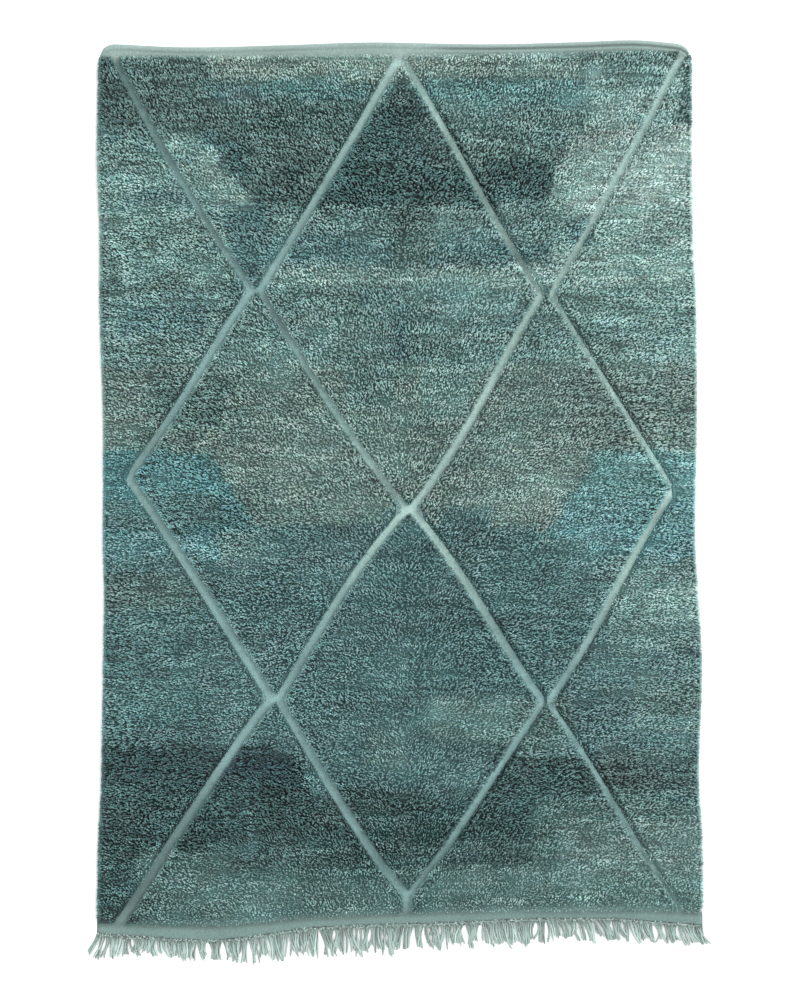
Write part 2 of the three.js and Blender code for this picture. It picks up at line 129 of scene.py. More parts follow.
# a smooth curve through the rows of a table: the cubic whose slope at a row is that of the line
# from the row before to the row after
def follow(table, placeName, place, valueName):
    order = np.argsort(table[placeName])
    at, value = np.array(table[placeName])[order], np.array(table[valueName], float)[order]
    before, after = np.maximum(np.arange(len(at)) - 1, 0), np.minimum(np.arange(len(at)) + 1, len(at) - 1)
    slope = (value[after] - value[before]) / (at[after] - at[before])
    low = np.clip(np.searchsorted(at, place, side="right") - 1, 0, len(at) - 2)
    span = at[low + 1] - at[low]
    t = np.clip((place - at[low]) / span, 0, 1)
    eased = mix(value[low], value[low + 1], t * t * (3 - 2 * t))
    return eased + t * (1 - t) ** 2 * span * slope[low] + t * t * (t - 1) * span * slope[low + 1]


# rows near the head and the foot are shifted to lie along the ends of the pile
def followEnds(x, y):
    nearHead = ramp(y, pileEnds["head"] - pileEnds["blend"], pileEnds["head"])
    nearFoot = ramp(-y, -pileEnds["foot"] - pileEnds["blend"], -pileEnds["foot"])
    headShift = nearHead * (follow(headEnd, "x", x, "pile") - pileEnds["head"])
    return y + headShift + nearFoot * (follow(footEnd, "x", x, "pile") - pileEnds["foot"])


# the middle of a line at heights y, and half its width measured along x: straight from start to end,
# plus 3t(1-t) times the pull, which goes from the upper handle's to the lower one's
def lineAt(fromName, toName, y):
    fromX, fromY, fromSpread = crossings[fromName]
    toX, toY, toSpread = crossings[toName]
    line = lines[fromName, toName]
    (upper, lower), (shift, wider) = line["pull"], line["settled"]
    heading = np.sign(toX - fromX)
    startX, endX = fromX + heading * fromSpread, toX - heading * toSpread
    t = np.clip((y - fromY) / (toY - fromY), 0, 1)
    half = (lineWidth + wider) / 2 * math.hypot(1, (endX - startX) / (toY - fromY))
    return mix(startX, endX, t) + 3 * t * (1 - t) * mix(upper, lower, t) + shift, half


# a side of a field at heights y
def fieldSide(route, side, y):
    inward = 1 if side == "left" else -1
    if route == "edge":
        return follow(rugEdges, "y", y, side) + inward * pile["underEdge"]
    x = np.zeros_like(y)
    for leg, (fromName, toName) in enumerate(zip(route, route[1:])):
        middle, half = lineAt(fromName, toName, y)
        onLeg = y <= crossings[fromName][1] if leg else np.ones(len(y), bool)
        x = np.where(onLeg, middle + inward * half, x)
    return x


# how far points are inside each of a field's four sides, square to the side, and the outward
# direction of each side there
def sidesOf(field, x, y):
    inside, outward = [], []
    for route, side, inward in zip(fields[field], ("left", "right"), (1, -1)):
        at = fieldSide(route, side, y)
        slope = (fieldSide(route, side, y + 0.002) - at) / 0.002
        inside.append(inward * (x - at) / np.hypot(1, slope))
        outward.append(np.stack([-inward / np.hypot(1, slope), inward * slope / np.hypot(1, slope)]))
    inside += [pileEnds["head"] - y, y - pileEnds["foot"]]
    outward += [np.stack([0 * x, 0 * x + 1]), np.stack([0 * x, 0 * x - 1])]
    return np.array(inside), np.array(outward)


# Wools as they look in daylight, in sRGB from 0 to 255.
wools = {
    "blackPine": (29, 68, 72), "ink": (40, 80, 81), "deepPine": (57, 95, 94), "pine": (70, 102, 101),
    "slate": (79, 110, 107), "deepSea": (78, 116, 116), "sea": (84, 120, 120), "brine": (97, 130, 127),
    "fern": (86, 120, 117), "moss": (90, 118, 113), "lichen": (103, 132, 129), "sage": (101, 127, 121),
    "paleSage": (106, 131, 125), "chalk": (118, 142, 135), "mist": (105, 138, 134),
    "haze": (118, 148, 144), "fog": (119, 148, 143), "frost": (131, 154, 149), "teal": (80, 127, 129),
    "lagoon": (93, 136, 138), "glass": (95, 136, 135),
}
# The lots of dyed wool, laid one over another: wool, top, foot, left edge at top and foot, and right
# edge at top and foot.
dyeLots = [
    ("slate", 1.60, 1.21, -1.1, -1.1, 1.1, 1.1),
    ("pine", 1.60, 1.24, -1.1, -1.1, -0.93, -0.90),
    ("chalk", 1.60, 1.38, -0.66, -0.62, 0.62, 0.60),
    ("fog", 1.60, 1.425, 0.33, 0.33, 0.62, 0.60),
    ("sage", 1.60, 1.44, 0.62, 0.60, 0.93, 0.90),
    ("haze", 1.44, 1.20, 0.62, 0.60, 0.94, 0.90),
    ("brine", 1.60, 1.36, 0.66, 0.67, 0.90, 0.88),
    ("slate", 1.34, 0.97, -0.70, -0.47, 0.02, 0.02),
    ("brine", 1.34, 1.15, 0.10, 0.20, 0.66, 0.56),
    ("moss", 1.16, 0.97, 0.20, 0.30, 0.60, 0.50),
    ("glass", 1.372, 1.312, -0.54, -0.48, 0.62, 0.58),
    ("sea", 1.372, 1.305, -0.66, -0.60, -0.48, -0.42),
    ("pine", 1.11, 0.975, -0.54, -0.47, -0.30, -0.33),
    ("deepPine", 1.195, 1.07, -0.63, -0.535, -0.53, -0.45),
    ("deepPine", 1.12, 0.975, 0.27, 0.30, 0.54, 0.49),
    ("brine", 1.19, 1.125, 0.30, 0.32, 0.47, 0.45),
    ("pine", 1.385, 1.28, 0.00, -0.08, 0.02, 0.10),
    ("deepPine", 1.30, 0.96, -0.06, -0.32, 0.08, 0.35),
    ("pine", 1.27, 1.10, 0.06, 0.10, 0.16, 0.22),
    ("mist", 1.215, 0.77, -1.1, -1.1, -0.66, -0.48),
    ("fog", 1.152, 0.965, -0.67, -0.57, -0.612, -0.464),
    ("sea", 1.01, 0.975, -0.90, -0.88, -0.66, -0.64),
    ("frost", 1.22, 0.95, 0.57, 0.46, 1.1, 1.1),
    ("fog", 1.13, 0.96, 0.533, 0.464, 0.61, 0.55),
    ("fog", 0.965, 0.70, 0.50, 0.50, 1.1, 1.1),
    ("sea", 0.94, 0.85, 0.52, 0.52, 0.66, 0.62),
    ("brine", 0.965, 0.86, -0.49, -0.49, 0.52, 0.52),
    ("deepSea", 0.98, 0.74, -0.58, -0.52, -0.42, -0.42),
    ("sea", 0.87, 0.77, -0.45, -0.45, 0.46, 0.46),
    ("slate", 0.98, 0.78, -0.03, -0.02, 0.14, 0.10),
    ("brine", 0.93, 0.86, -0.17, -0.17, -0.03, -0.03),
    ("mist", 0.94, 0.85, 0.40, 0.40, 0.56, 0.56),
    ("fog", 0.775, 0.705, -0.46, -0.46, 0.60, 0.60),
    ("mist", 0.79, 0.72, -1.1, -1.1, -0.55, -0.52),
    ("slate", 0.73, 0.64, -1.1, -1.1, -0.55, -0.58),
    ("brine", 0.70, 0.43, -1.1, -1.1, 0.52, 0.52),
    ("sea", 0.64, 0.56, -0.90, -0.90, -0.60, -0.65),
    ("sea", 0.64, 0.42, -0.02, -0.02, 0.04, 0.04),
    ("mist", 0.70, 0.43, 0.52, 0.52, 1.1, 1.1),
    ("sage", 0.44, 0.16, -1.1, -1.1, 1.1, 1.1),
    ("brine", 0.44, 0.30, -0.20, -0.14, -0.02, -0.02),
    ("mist", 0.44, 0.28, 0.06, 0.08, 0.27, 0.22),
    ("paleSage", 0.22, 0.01, -0.66, -0.54, 0.66, 0.56),
    ("moss", 0.44, 0.17, -0.80, -0.85, -0.47, -0.66),
    ("slate", 0.41, 0.25, -0.82, -0.78, -0.52, -0.58),
    ("sage", 0.03, -0.07, -0.54, -0.50, -0.05, -0.05),
    ("paleSage", 0.03, -0.105, 0.06, 0.10, 0.56, 0.50),
    ("paleSage", 0.05, -0.035, -0.13, -0.11, -0.02, 0.0),
    ("teal", 0.165, -0.21, -1.1, -1.1, -0.64, -0.36),
    ("deepSea", 0.03, -0.07, -0.85, -0.85, -0.60, -0.56),
    ("deepSea", 0.0, -0.10, -0.97, -0.97, -0.72, -0.68),
    ("glass", 0.165, 0.01, 0.67, 0.57, 1.1, 1.1),
    ("lagoon", 0.01, -0.13, 0.57, 0.46, 1.1, 1.1),
    ("lagoon", -0.125, -0.19, -1.1, -1.1, -0.42, -0.40),
    ("deepSea", -0.08, -0.81, -0.40, -0.40, 0.46, 0.46),
    ("deepSea", -0.185, -0.81, -1.1, -1.1, 0.62, 0.62),
    ("lagoon", -0.12, -0.19, 0.60, 0.64, 1.1, 1.1),
    ("slate", -0.24, -0.36, -1.1, -1.1, -0.62, -0.66),
    ("sea", -0.10, -0.33, -0.58, -0.58, -0.06, -0.10),
    ("brine", -0.10, -0.20, -0.60, -0.58, -0.47, -0.45),
    ("sea", -0.02, -0.30, 0.12, 0.12, 0.30, 0.30),
    ("sea", -0.38, -0.80, -0.62, -0.62, 0.05, 0.05),
    ("brine", -0.19, -0.50, 0.68, 0.68, 1.1, 1.1),
    ("haze", -0.28, -0.38, 0.80, 0.80, 1.1, 1.1),
    ("sea", -0.49, -0.81, 0.50, 0.50, 1.1, 1.1),
    ("brine", -0.58, -0.76, 0.76, 0.76, 1.1, 1.1),
    ("brine", -0.65, -0.81, 0.10, 0.10, 0.56, 0.56),
    ("ink", -0.81, -0.96, -1.1, -1.1, -0.42, -0.29),
    ("blackPine", -0.84, -0.92, -0.62, -0.60, -0.36, -0.30),
    ("deepPine", -0.95, -1.16, -1.1, -1.1, -0.50, -0.50),
    ("sea", -0.80, -0.96, -0.34, -0.21, 0.30, 0.27),
    ("brine", -0.76, -0.88, -0.12, -0.12, 0.03, 0.03),
    ("deepPine", -0.835, -0.97, 0.30, 0.30, 0.66, 0.66),
    ("fern", -0.83, -0.97, 0.66, 0.66, 1.1, 1.1),
    ("pine", -0.865, -0.945, 0.66, 0.66, 0.95, 0.95),
    ("deepPine", -0.965, -1.15, -0.50, -0.46, 0.46, 0.46),
    ("pine", -0.96, -1.08, -0.26, -0.26, -0.04, -0.04),
    ("fern", -0.98, -1.15, 0.44, 0.44, 1.1, 1.1),
    ("fern", -1.14, -1.24, -0.86, -0.86, 0.50, 0.50),
    ("pine", -1.04, -1.12, -0.02, -0.02, 0.06, 0.06),
    ("fern", -1.22, -1.50, -1.1, -1.1, 0.54, 0.54),
    ("deepPine", -1.05, -1.50, -1.1, -1.1, -0.86, -0.86),
    ("brine", -1.25, -1.50, -0.78, -0.78, -0.02, -0.02),
    ("brine", -1.22, -1.50, 0.06, 0.08, 0.54, 0.54),
    ("pine", -1.155, -1.215, -0.55, -0.55, 0.44, 0.44),
    ("pine", -1.13, -1.215, -0.17, -0.13, 0.0, 0.0),
    ("lichen", -1.05, -1.28, 0.54, 0.50, 1.1, 1.1),
    ("mist", -1.26, -1.50, 0.44, 0.44, 1.1, 1.1),
]
# How soft the edges of the lots are and how far they wander, in metres; then how strong the streaks, the
# clouds and the turns of hue are, and how much paler loose wool is than the look of a whole rug.
dyeing = {"edge": 0.011, "wander": 0.012, "streak": 0.11, "cloud": 0.12, "tealer": 0.07, "albedo": 1.64}


# sRGB from 0 to 255 made linear
def linear(colour):
    c = np.asarray(colour, float) / 255
    return np.where(c <= 0.04045, c / 12.92, ((c + 0.055) / 1.055) ** 2.4)


# the wool's colour at points: the lots laid over each other with wandering edges, then streaked
# across the rug as the wool was knotted in, row by row
def dyeAt(x, y):
    edge, wander = dyeing["edge"], dyeing["wander"]
    wanderX = x + wander * softNoise(x, y, 0.05, 0.04, 31)
    wanderY = y + wander * (softNoise(x, y, 0.16, 0.05, 32) + 0.6 * softNoise(x, y, 0.03, 0.02, 33))
    wanderY = wanderY + wander * 0.9 * softNoise(x, y, 0.055, 0.03, 30)
    colour = np.tile(linear(wools["sea"]), (len(x), 1))
    for wool, top, foot, leftTop, leftFoot, rightTop, rightFoot in dyeLots:
        down = (top - wanderY) / (top - foot)
        mask = ramp(top - wanderY, -edge, edge) * ramp(wanderY - foot, -edge, edge)
        mask *= ramp(wanderX - mix(leftTop, leftFoot, down), -edge, edge)
        mask *= ramp(mix(rightTop, rightFoot, down) - wanderX, -edge, edge)
        colour = mix(colour, linear(wools[wool]), mask[:, None])
    streaks = softNoise(x, y, 0.30, 0.011, 34) + 0.7 * softNoise(x, y, 0.10, 0.008, 35)
    clouds = softNoise(x, y, 0.12, 0.05, 36) + 0.8 * softNoise(x, y, 0.045, 0.025, 37)
    tealer = softNoise(x, y, 0.09, 0.02, 38) + 0.6 * softNoise(x, y, 0.03, 0.012, 39)
    colour = colour * (1 + dyeing["tealer"] * tealer[:, None] * np.array([-1.0, 0.12, 0.25]))
    return colour * (1 + dyeing["streak"] * streaks + dyeing["cloud"] * clouds)[:, None] * dyeing["albedo"]


# a mesh from whole arrays: points, and one array of faces for each number of corners
def meshFrom(name, points, faceArrays):
    mesh = bpy.data.meshes.new(name)
    corners = np.concatenate([faces.ravel() for faces in faceArrays]).astype(np.int32)
    sizes = np.concatenate([np.full(len(faces), faces.shape[1]) for faces in faceArrays])
    mesh.vertices.add(len(points))
    mesh.vertices.foreach_set("co", points.astype(np.float32).ravel())
    mesh.loops.add(len(corners))
    mesh.loops.foreach_set("vertex_index", corners)
    mesh.polygons.add(len(sizes))
    mesh.polygons.foreach_set("loop_start", np.concatenate([[0], np.cumsum(sizes)[:-1]]).astype(np.int32))
    mesh.polygons.foreach_set("use_smooth", np.ones(len(sizes), bool))
    mesh.update(calc_edges=True)
    return mesh


def addValues(mesh, name, values):
    mesh.attributes.new(name, "FLOAT", "POINT").data.foreach_set("value", values.astype(np.float32))


def addColours(mesh, name, colours):
    rgba = np.ones((len(colours), 4), np.float32)
    rgba[:, :3] = colours
    mesh.attributes.new(name, "FLOAT_COLOR", "POINT").data.foreach_set("color", rgba.ravel())


def addUv(mesh, cornerUv):
    mesh.uv_layers.new(name="OFBake").data.foreach_set("uv", cornerUv.astype(np.float32).ravel())


# one piece of the rug, riding on its only body
def addPiece(name, mesh, material, node):
    piece = bpy.data.objects.new(name, mesh)
    bpy.context.scene.collection.objects.link(piece)
    mesh.materials.append(material)
    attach(piece, "root")
    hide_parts(node)
    return piece


# Shader groups

def newGroup(name, inputs, outputs):
    group = bpy.data.node_groups.new(name, "ShaderNodeTree")
    for direction, sockets in (("INPUT", inputs), ("OUTPUT", outputs)):
        for socketName, kind in sockets:
            group.interface.new_socket(name=socketName, in_out=direction, socket_type="NodeSocket" + kind)
    return group, group.nodes.new("NodeGroupInput"), group.nodes.new("NodeGroupOutput")


# a socket gets a link from another socket, or a plain value
def fill(tree, socket, value):
    if isinstance(value, bpy.types.NodeSocket):
        tree.links.new(value, socket)
    else:
        socket.default_value = value


def mathNode(tree, operation, *values):
    node = tree.nodes.new("ShaderNodeMath")
    node.operation = operation
    for socket, value in zip(node.inputs, values):
        fill(tree, socket, value)
    return node.outputs[0]


# a colour or vector made larger or smaller by a gain
def scaledNode(tree, vector, gain):
    node = tree.nodes.new("ShaderNodeVectorMath")
    node.operation = "SCALE"
    tree.links.new(vector, node.inputs[0])
    tree.links.new(gain, node.inputs["Scale"])
    return node.outputs["Vector"]


def noiseNode(tree, vector, scale, detail, roughness):
    node = tree.nodes.new("ShaderNodeTexNoise")
    for name, value in (("Vector", vector), ("Scale", scale), ("Detail", detail), ("Roughness", roughness)):
        fill(tree, node.inputs[name], value)
    return node.outputs["Fac"]


# a value carried from one range to another
def rangeNode(tree, value, fromLow, fromHigh, toLow=0.0, toHigh=1.0, kind="LINEAR"):
    node = tree.nodes.new("ShaderNodeMapRange")
    node.interpolation_type = kind
    for socket, number in zip(node.inputs, (value, fromLow, fromHigh, toLow, toHigh)):
        fill(tree, socket, number)
    return node.outputs["Result"]


# wool colour made lighter and darker by noise: colour * (1 + strength * (noise - 0.5))
def mottleGroup():
    inputs = [("Color", "Color"), ("Vector", "Vector"), ("Scale", "Float"), ("Strength", "Float")]
    group, inside, out = newGroup("woolMottle", inputs, [("Color", "Color")])
    broad = noiseNode(group, inside.outputs["Vector"], inside.outputs["Scale"], 3.0, 0.6)
    centred = mathNode(group, "SUBTRACT", broad, 0.5)
    gain = mathNode(group, "MULTIPLY_ADD", centred, inside.outputs["Strength"], 1.0)
    group.links.new(scaledNode(group, inside.outputs["Color"], gain), out.inputs["Color"])
    return group


# fine fibres, as a height made from close noise
def fibreGroup():
    inputs = [("Vector", "Vector"), ("Scale", "Float")]
    group, inside, out = newGroup("woolFibre", inputs, [("Height", "Float")])
    fine = noiseNode(group, inside.outputs["Vector"], inside.outputs["Scale"], 4.0, 0.7)
    group.links.new(fine, out.inputs["Height"])
    return group


def materialNodes(name, roughness, sheen):
    material = bpy.data.materials.new(name)
    material.use_nodes = True
    tree = material.node_tree
    shader = tree.nodes["Principled BSDF"]
    shader.inputs["Roughness"].default_value = roughness
    shader.inputs["Specular IOR Level"].default_value = 0.15
    shader.inputs["Sheen Weight"].default_value = sheen
    shader.inputs["Sheen Roughness"].default_value = 0.6
    return material, tree, shader


def attributeNode(tree, name, output):
    node = tree.nodes.new("ShaderNodeAttribute")
    node.attribute_name = name
    return node.outputs[output]


def groupNode(tree, group, **values):
    node = tree.nodes.new("ShaderNodeGroup")
    node.node_tree = group
    for name, value in values.items():
        fill(tree, node.inputs[name], value)
    return node.outputs[0]


def objectPlaceOf(tree):
    return tree.nodes.new("ShaderNodeTexCoord").outputs["Object"]


def bumpInto(tree, shader, height, strength, distance):
    bump = tree.nodes.new("ShaderNodeBump")
    bump.inputs["Strength"].default_value = strength
    bump.inputs["Distance"].default_value = distance
    tree.links.new(height, bump.inputs["Height"])
    tree.links.new(bump.outputs["Normal"], shader.inputs["Normal"])


woolMottle = mottleGroup()
woolFibre = fibreGroup()
print("shader groups made")

# Pile

pile = {
    "underEdge": 0.012,       # the knots stop short of the rug's edge, and their ends lean out over it
    "height": 0.0255, "lumps": 0.0016, "scatter": 0.0012, "clumpRise": 0.0026, "partingDepth": 0.007,
    "rowPitch": 0.0065, "columnPitch": 0.0066, "jitter": 0.40,
    "reachSpread": 0.34, "strayShare": 0.11,
    "shoulder": 0.66,         # how far along the tuft its shoulder is
    "droop": 0.0022, "clump": 0.0040, "streak": 0.0052,
    "edgeStep": 0.0017,       # between the tufts of the row tied along each edge
    "lineStep": 0.0045,       # and along each side of a line
    "knotDepth": 0.0048, "bedTop": 0.0125,
    "bedBeyond": (0.0108, 0.0075),   # how far the matted wool reaches past the knots, left and right
}
# How light the single tufts are: the spread from yarn to yarn; painted shade at partings and along the left
# edge; painted light along the right edge and the foot; and the tint of the painted shade deep in the pile.
pileShade = {
    "yarns": 0.25, "parting": 0.42, "leftEdgePaintedShade": 0.38, "rightEdgePaintedLight": 0.22, "foot": 0.25,
    "least": 0.36, "most": 1.27, "mostWhenDark": 0.44, "deepShadeTint": (0.92, 1.0, 1.0),
}
# How the tufts meet each kind of side: how far from it they are turned outward and lowered, how far
# out they aim, how far over it they may reach and how loosely, and the share of the height that is lost.
rims = {
    "edge": {"width": 0.026, "aim": 0.0200, "over": 0.0150, "loose": 0.0009, "drop": 0.36},
    "line": {"width": 0.013, "aim": 0.0095, "over": 0.0065, "loose": 0.0030, "drop": 0.20},
    "head": {"width": 0.015, "aim": 0.0080, "over": 0.0060, "loose": 0.0040, "drop": 0.12},
    "foot": {"width": 0.015, "aim": 0.0080, "over": 0.0065, "loose": 0.0045, "drop": 0.12},
}
# Which way the tufts lie, as the angle between a tuft and the rows: at the middle, between, and at
# the side. They fan out from the middle and up towards the head.
pileLean = {
    "y": [-1.40, -1.15, -0.90, -0.50, 0.00, 0.30, 0.60, 0.95, 1.20, 1.46],
    "middle": [85, 75, 50, 50, 55, 65, 75, 30, 25, 70],
    "between": [60, 40, 15, 10, 25, 35, 40, 35, 60, 62],
    "side": [50, 25, 6, 3, 5, 12, 14, 12, 45, 60],
}
# How far the tufts lie over at the middle and at the side, how thick they are, and how strong the
# lighter and darker patches are.
pileReach = {
    "y": [-1.40, -1.10, -0.80, -0.30, 0.30, 0.90, 1.46],
    "middle": [0.010, 0.011, 0.013, 0.013, 0.014, 0.014, 0.013],
    "side": [0.012, 0.014, 0.018, 0.019, 0.019, 0.018, 0.016],
    "girth": [0.0051, 0.0051, 0.0050, 0.0052, 0.0057, 0.0059, 0.0057],
    "patch": [0.22, 0.22, 0.21, 0.22, 0.25, 0.26, 0.25],
}
parting = {"x": 0.02, "between": 0.40, "side": 0.95}
swells = [(0.64, 22, 0.0019), (0.31, 104, 0.0018), (0.19, 151, 0.0015)]   # length, heading, rise

# corner numbers of a tuft's six faces: point 0 is its root, 1 to 3 its shoulder and 4 its tip
tuftFaces = np.array(
    [(0, 1 + (k + 1) % 3, 1 + k) for k in range(3)] + [(1 + k, 1 + (k + 1) % 3, 4) for k in range(3)]
)
# where the same corners lie in the tuft's own cell of the bake map
tuftUv = np.array(
    [((k + 0.5) / 3, 0, (k + 1) / 3, 0.6, k / 3, 0.6) for k in range(3)]
    + [(k / 3, 0.6, (k + 1) / 3, 0.6, (k + 0.5) / 3, 1) for k in range(3)]
).reshape(-1, 2)
bedShare = 0.06   # the part of the bake map that the bed of knots takes


# the rise and fall of the pile, the sum of a few sine waves
def swellAt(x, y):
    total = np.zeros_like(x)
    for length, heading, rise in swells:
        angle = math.radians(heading)
        total += rise * np.sin(2 * math.pi * (x * math.cos(angle) + y * math.sin(angle)) / length)
    return total


# the heading of the tufts in radians: the lean tables read across the rug, mirrored at the parting,
# then turned by soft noise
def headingAt(x, y, chance):
    fromMiddle = x - parting["x"]
    away = np.abs(fromMiddle)
    middle, between, side = (follow(pileLean, "y", y, name) for name in ("middle", "between", "side"))
    angle = mix(middle, between, ramp(away, 0, parting["between"]))
    angle = mix(angle, side, ramp(away, parting["between"], parting["side"]))
    turned = 15 * softNoise(x, y, 0.09, 0.07, 41) + 11 * softNoise(x, y, 0.03, 0.03, 42) + 15 * chance
    angle = np.radians(angle + turned * mix(1.1, 0.6, ramp(away, 0.3, 0.8)))   # the sides are combed flatter
    leftHand = fromMiddle + 0.06 * softNoise(x, y, 0.06, 0.05, 43) + 0.025 * chance < 0
    return np.where(leftHand, math.pi - angle, angle)


# where rows of tufts part and leave a dark crack across the pile, from 0 to 1: thin wandering bands,
# more of them toward the sides, and one seam down the middle
def partingAt(x, y):
    cracks = ramp(softNoise(x, y, 0.11, 0.009, 48), 0.44, 0.82) * (0.4 + 0.6 * ramp(np.abs(x), 0.2, 0.7))
    seamX = parting["x"] + 0.008 * softNoise(x, y, 1, 0.05, 40)
    seam = (1 - ramp(np.abs(x - seamX), 0.002, 0.018)) * ramp(softNoise(x, y, 1, 0.03, 50), -0.5, 0.3)
    return np.clip(cracks + 0.35 * seam, 0, 1)


# tufts cling together in clumps that stand higher and catch more light, from -1 to 1
def clumpAt(x, y):
    return softNoise(x, y, 0.017, 0.013, 55)


# every knot of the rug: a staggered grid of places with each one set off at random, then one row along
# each edge and two along each side of every line
def knotPlaces():
    rng = np.random.default_rng(51)
    rows = np.arange(pileEnds["foot"] + 0.003, pileEnds["head"] - 0.002, pile["rowPitch"])
    columns = np.arange(-1.02, 1.02, pile["columnPitch"])
    x, y = np.meshgrid(columns, rows)
    x = x + (np.arange(len(rows)) % 2 * pile["columnPitch"] / 2)[:, None]
    x = x + pile["columnPitch"] * pile["jitter"] * rng.uniform(-1, 1, x.shape)
    y = y + pile["rowPitch"] * pile["jitter"] * rng.uniform(-1, 1, y.shape)
    edgeY = np.arange(pileEnds["foot"] + 0.002, pileEnds["head"] - 0.002, pile["edgeStep"])
    for side, inward in (("left", 1), ("right", -1)):
        fromEdge = pile["underEdge"] + rng.uniform(0.002, 0.007, len(edgeY))
        edgeX = follow(rugEdges, "y", edgeY, side) + inward * fromEdge
        x, y = np.append(x, edgeX), np.append(y, edgeY)
    for fromName, toName in lines:
        high, low = crossings[fromName][1], crossings[toName][1]
        lineY = np.arange(low, high, pile["lineStep"])
        for out in (-1, 1):
            middle, half = lineAt(fromName, toName, lineY)
            for nearest, farthest in ((0.002, 0.008), (0.008, 0.018)):
                lineX = middle + out * (half + rng.uniform(nearest, farthest, len(lineY)))
                x, y = np.append(x, lineX), np.append(y, lineY)
    return x.ravel(), y.ravel()


# the five points of each tuft, with the three of its shoulder square to the line from root to tip
def tuftPoints(root, shoulder, tip, girth, spin):
    points = np.empty((len(root), 5, 3))
    points[:, 0], points[:, 4] = root, tip
    along = tip - root
    along /= np.linalg.norm(along, axis=1)[:, None]
    across = np.cross(along, (0.0, 0.0, 1.0)) + 1e-6
    across /= np.linalg.norm(across, axis=1)[:, None]
    upward = np.cross(along, across)
    for corner in range(3):
        turn = (spin + corner * 2 * math.pi / 3)[:, None]
        aside = np.cos(turn) * across + np.sin(turn) * upward
        points[:, 1 + corner] = shoulder + girth[:, None] / 2 * aside
    return points


# the tufts of one field: a root at the knot, a tip that lies over by the reach along the heading, and a
# shoulder on the line between them that is raised to the height of the pile
def tuftsOf(field, x, y, rng):
    count = len(x)
    heading = headingAt(x, y, rng.normal(size=count))
    stray = rng.uniform(size=count) < pile["strayShare"]
    heading = np.where(stray, rng.uniform(0, 2 * math.pi, count), heading)
    towardSide = ramp(np.abs(x - parting["x"]), 0, parting["side"])
    reach = mix(follow(pileReach, "y", y, "middle"), follow(pileReach, "y", y, "side"), towardSide)
    reach = reach * (1 + pile["reachSpread"] * rng.uniform(-1, 1, count))
    clumpX = pile["clump"] * softNoise(x, y, 0.017, 0.017, 44)
    clumpY = pile["clump"] * softNoise(x, y, 0.017, 0.017, 45)
    clumpY = clumpY + pile["streak"] * softNoise(x, y, 0.11, 0.012, 46)
    run = np.stack([np.cos(heading) * reach + clumpX, np.sin(heading) * reach + clumpY])
    inside, outward = sidesOf(field, x, y)
    kinds = ["edge" if route == "edge" else "line" for route in fields[field]] + ["head", "foot"]
    rim = np.ones(count)
    for kind, fromSide, out in zip(kinds, inside, outward):
        nearness = 1 - ramp(fromSide, 0, rims[kind]["width"])
        run = mix(run, out * rims[kind]["aim"], 0.85 * nearness)
        rim *= 1 - rims[kind]["drop"] * nearness
    # a tuft that would reach too far over a side stands up instead
    tipInside = sidesOf(field, x + run[0], y + run[1])[0]
    over, loose = (np.array([rims[kind][name] for kind in kinds])[:, None] for name in ("over", "loose"))
    over = over + loose * rng.uniform(-1, 1, (4, count))
    share = np.where(tipInside < -over, (inside + over) / np.maximum(inside - tipInside, 1e-6), 1)
    run = run * np.clip(share.min(axis=0), 0.10, 1)
    height = (pile["height"] + swellAt(x, y)) * rim
    height = height + pile["lumps"] * softNoise(x, y, 0.035, 0.03, 47)
    height = height + pile["scatter"] * rng.normal(size=count)
    height = height + pile["clumpRise"] * clumpAt(x, y) - pile["partingDepth"] * partingAt(x, y)
    shiftedY = followEnds(x, y)
    root = np.stack([x, shiftedY, np.full(count, pile["knotDepth"])], axis=1)
    tipHeight = height - pile["droop"] - 0.25 * (1 - rim) * height
    tip = np.stack([x + run[0], shiftedY + run[1], tipHeight], axis=1)
    shoulder = mix(root, tip, pile["shoulder"] * rng.uniform(0.85, 1.15, count)[:, None])
    shoulder[:, 2] = height
    girth = follow(pileReach, "y", y, "girth") * rng.uniform(0.80, 1.20, count)
    return tuftPoints(root, shoulder, tip, girth, rng.uniform(0, 2 * math.pi, count))


